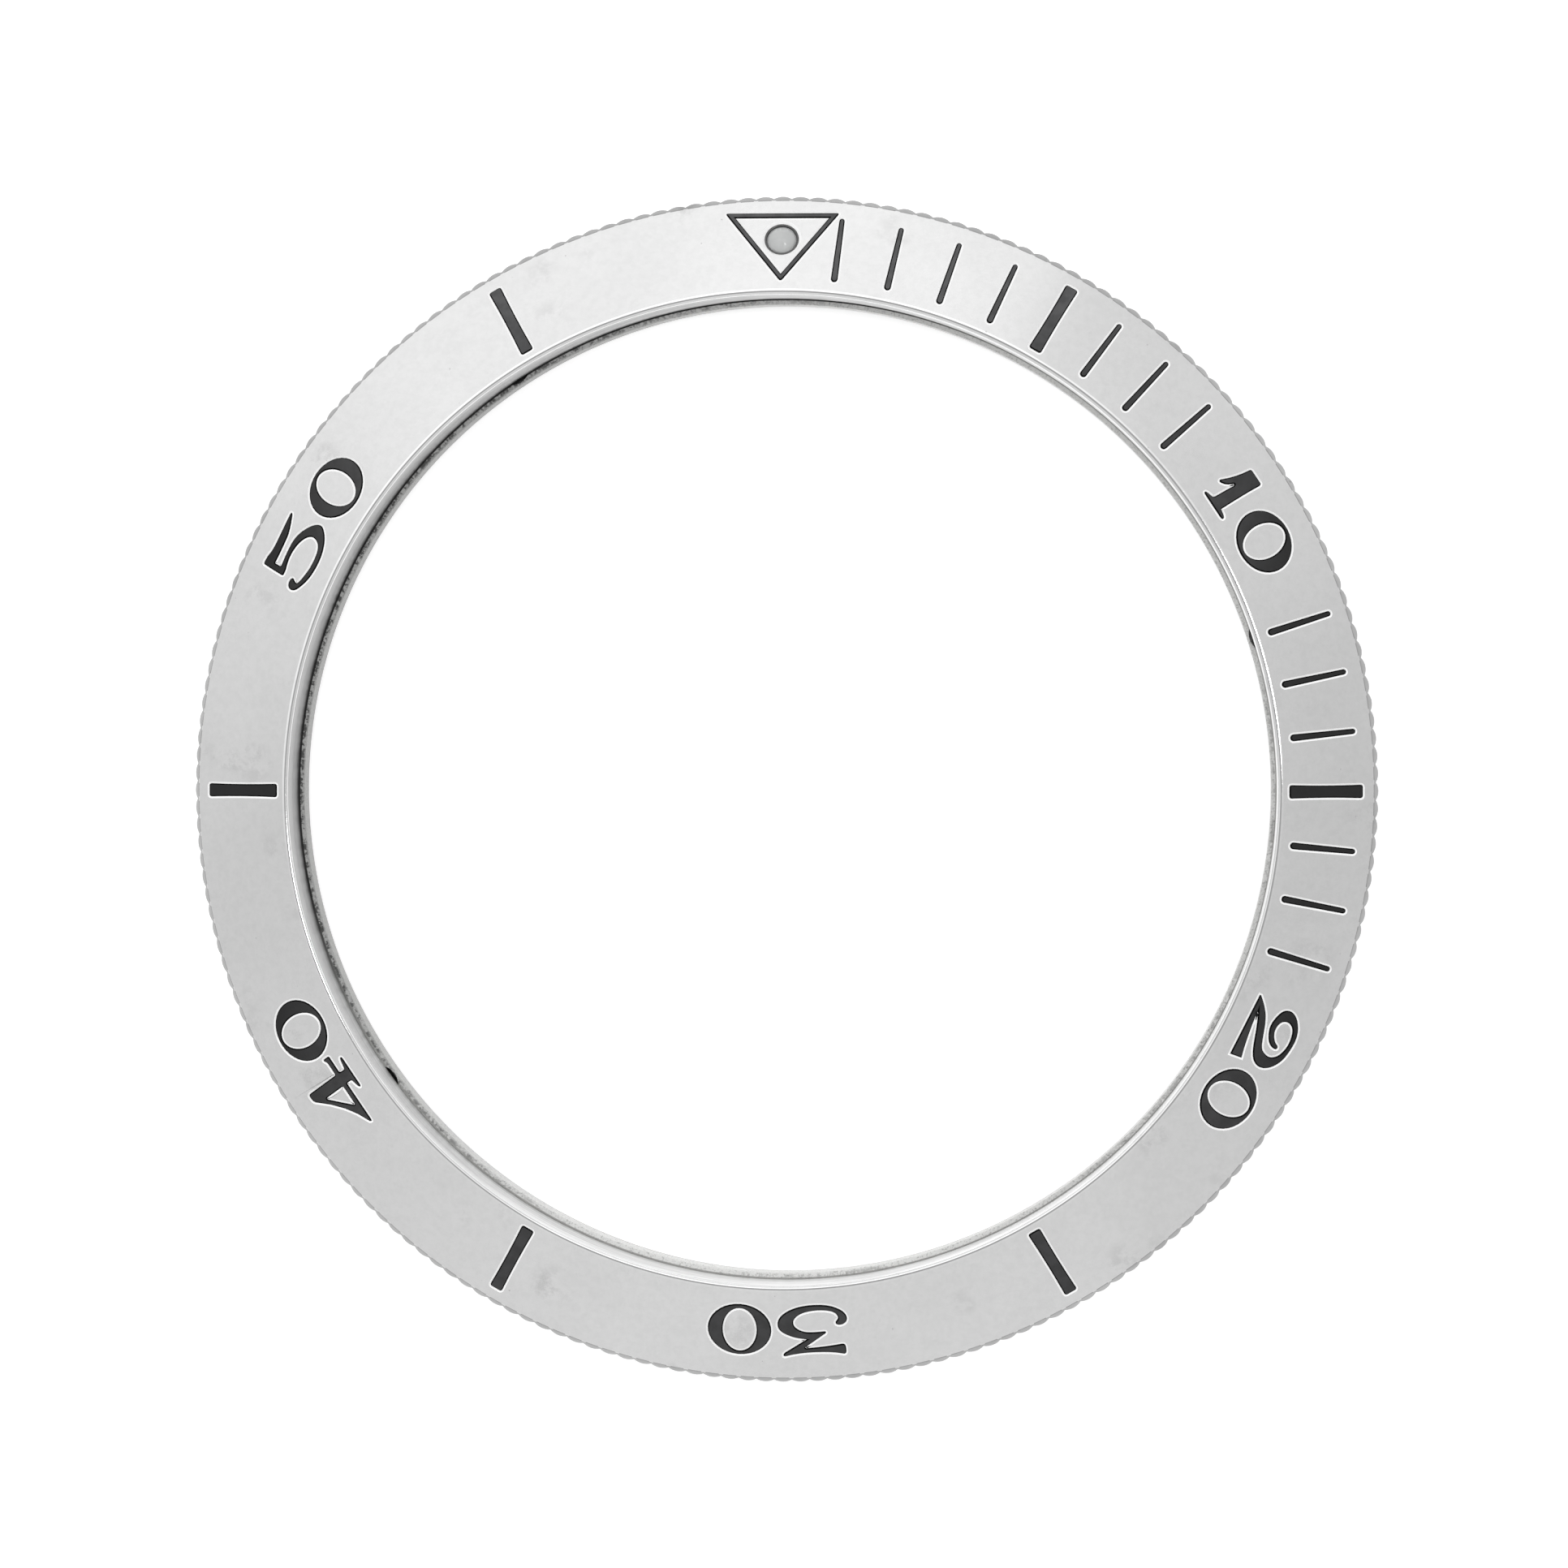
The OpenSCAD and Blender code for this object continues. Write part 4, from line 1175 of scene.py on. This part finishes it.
def floor_paper():
    """White paper that stays white where the object casts no shadow, also in reflections."""
    settings = bpy.context.scene.bezel_stage_settings
    material, tree, shader, position = start_material("Floor paper")
    grain = noise(tree, position, 900, 2)
    paper = mixed(tree, grain, settings.paper, tinted(settings.paper, 0.99))
    tree.links.new(paper, shader.inputs["Base Color"])
    shader.inputs["Roughness"].default_value = 0.95
    shader.inputs["Specular IOR Level"].default_value = 0.1
    path = tree.nodes.new("ShaderNodeLightPath").outputs
    seen = sum_of(tree, path["Is Camera Ray"], path["Is Glossy Ray"])
    seen = sum_of(tree, seen, path["Is Transmission Ray"])
    glow = place(tree, "ShaderNodeEmission", {"Strength": product_of(tree, seen, settings.glow)})
    both = place(tree, "ShaderNodeAddShader", {0: shader.outputs[0], 1: glow.outputs[0]})
    tree.links.new(both.outputs[0], tree.nodes["Material Output"].inputs["Surface"])
    return material


def studio_sky():
    """A white dome with a grey upper part, a window from 10 to 12 o'clock and a darker patch overhead."""
    world = bpy.data.worlds.new("Studio")
    world.use_nodes = True
    tree = world.node_tree
    sky = tree.nodes.new("ShaderNodeTexCoord").outputs["Generated"]
    axes = place(tree, "ShaderNodeSeparateXYZ", {"Vector": sky}).outputs
    flat = place(tree, "ShaderNodeCombineXYZ", {"X": axes["X"], "Y": axes["Y"]})
    unit = place(tree, "ShaderNodeVectorMath", {0: flat.outputs[0]}, operation="NORMALIZE")
    way = place(tree, "ShaderNodeSeparateXYZ", {"Vector": unit.outputs[0]}).outputs
    ahead = place(tree, "ShaderNodeMath", {0: way["Y"], 1: 0}, operation="MAXIMUM").outputs[0]
    aside = place(tree, "ShaderNodeMath", {0: way["X"], 1: 0}, operation="MINIMUM").outputs[0]
    # The direction round the horizon in radians, from 12 o'clock and positive towards 3 o'clock
    clock = place(tree, "ShaderNodeMath", {0: axes["X"], 1: axes["Y"]}, operation="ARCTAN2").outputs[0]
    left = ramp(tree, clock, -1.8, -1.5)
    window = sum_of(tree, product_of(tree, left, 0.055), ramp(tree, clock, -1.6, -0.7), 0.165)
    # The dial face mirrors the upper part, which is lighter at 12 and 6 o'clock and lightest in the window
    around = sum_of(tree, 0.7, product_of(tree, way["Y"], way["Y"]), 0.13)
    around = sum_of(tree, sum_of(tree, around, ahead, 0.08), aside, -0.03)
    around = sum_of(tree, around, product_of(tree, window, ramp(tree, clock, 0.42, 0.46, 1, 0)))
    # The polished edge mirrors the low and the high band, and what lies flat mirrors the patch overhead
    low_band = ramp(tree, axes["Z"], 0.02, 0.45, 1, 0)
    high_band = product_of(tree, ramp(tree, axes["Z"], 0.7, 0.78), around)
    front = product_of(tree, left, ramp(tree, clock, 0.42, 1.4, 0.32, 0))
    zenith = ramp(tree, axes["Z"], 0.95, 0.968)
    level = place(tree, "ShaderNodeMix", {0: low_band, 2: around, 3: 1.0}).outputs[0]
    level = sum_of(tree, level, product_of(tree, high_band, sum_of(tree, front, 0.05)))
    level = place(tree, "ShaderNodeMix", {0: zenith, 2: level, 3: 0.45}).outputs[0]
    tree.links.new(level, tree.nodes["Background"].inputs["Strength"])
    tree.nodes["Background"].inputs["Color"].default_value = (1, 1, 1, 1)
    return world


def hang_lamp(name, size, energy, way):
    """A round soft lamp that shines on the ring from a direction. Its size is in metres."""
    light = bpy.data.lights.new(name, "AREA")
    light.shape = "DISK"
    light.size = size
    light.energy = energy
    lamp = bpy.data.objects.new(name, light)
    bpy.context.scene.collection.objects.link(lamp)
    to_lamp = Vector(way).normalized()
    lamp.location = to_lamp * LAMP_AWAY
    lamp.rotation_mode = "QUATERNION"
    lamp.rotation_quaternion = to_lamp.to_track_quat("Z", "Y")
    return lamp


class BEZEL_OT_stage(bpy.types.Operator):
    """Set up the camera, the soft light and the white floor"""

    bl_idname = "bezel.stage"
    bl_label = "Stage"

    def execute(self, context):
        settings = context.scene.bezel_stage_settings
        scene = context.scene
        shape = bmesh.new()
        bmesh.ops.create_circle(shape, cap_ends=True, segments=128, radius=FLOOR_R)
        floor = add_piece("floor", shape)
        floor.data.materials.append(floor_paper())

        scene.world = studio_sky()
        hang_lamp("key", size=0.1, energy=0.45, way=(0.36, 0.1, 0.92))
        fill = hang_lamp("fill", size=0.25, energy=0.48, way=(-0.54, 0.2, 0.82))
        fill.visible_glossy = False

        camera = bpy.data.objects.new("camera", bpy.data.cameras.new("camera"))
        scene.collection.objects.link(camera)
        scene.camera = camera
        camera.data.sensor_width = 36
        camera.data.lens = settings.lens
        camera.data.shift_x = settings.shift_x
        camera.data.shift_y = settings.shift_y
        camera.data.clip_start = 0.01
        aside, above = math.sin(settings.lean_right), math.sin(settings.lean_up)
        back = Vector((aside, above, math.sqrt(1 - aside**2 - above**2)))
        right = Vector((0, 1, 0)).cross(back).normalized()
        up = back.cross(right)
        target = Vector((0, 0, face_height(settings.aim_r)))
        turned = Matrix((right, up, back)).transposed().to_4x4()
        camera.matrix_world = Matrix.Translation(target + back * settings.distance) @ turned
        scene.view_settings.view_transform = "Standard"
        return {"FINISHED"}


class BEZEL_PT_panel(bpy.types.Panel):
    """The pieces of the bezel"""

    bl_label = "Watch bezel"
    bl_idname = "BEZEL_PT_panel"
    bl_space_type = "VIEW_3D"
    bl_region_type = "UI"
    bl_category = "Bezel"

    def draw(self, context):
        for operator in OPERATORS:
            self.layout.operator(operator.bl_idname)


SETTINGS = {
    "bezel_ring_settings": RingSettings,
    "bezel_enamel_settings": EnamelSettings,
    "bezel_pearl_settings": PearlSettings,
    "bezel_seat_settings": SeatSettings,
    "bezel_click_settings": ClickSettings,
    "bezel_stage_settings": StageSettings,
}
OPERATORS = [
    BEZEL_OT_stage,
    BEZEL_OT_ring,
    BEZEL_OT_enamel,
    BEZEL_OT_pearl,
    BEZEL_OT_seat,
    BEZEL_OT_wire,
    BEZEL_OT_clicks,
]


def register():
    for group in SETTINGS.values():
        bpy.utils.register_class(group)
    for operator in OPERATORS:
        bpy.utils.register_class(operator)
    bpy.utils.register_class(BEZEL_PT_panel)
    for name, group in SETTINGS.items():
        setattr(bpy.types.Scene, name, PointerProperty(type=group))


def unregister():
    for name in SETTINGS:
        delattr(bpy.types.Scene, name)
    bpy.utils.unregister_class(BEZEL_PT_panel)
    for operator in reversed(OPERATORS):
        bpy.utils.unregister_class(operator)
    for group in SETTINGS.values():
        bpy.utils.unregister_class(group)


def main():
    register()
    bpy.ops.bezel.stage()
    bpy.ops.bezel.ring()
    bpy.ops.bezel.enamel()
    bpy.ops.bezel.pearl()
    bpy.ops.bezel.seat()
    bpy.ops.bezel.wire()
    bpy.ops.bezel.clicks()


if __name__ == "__main__":
    main()
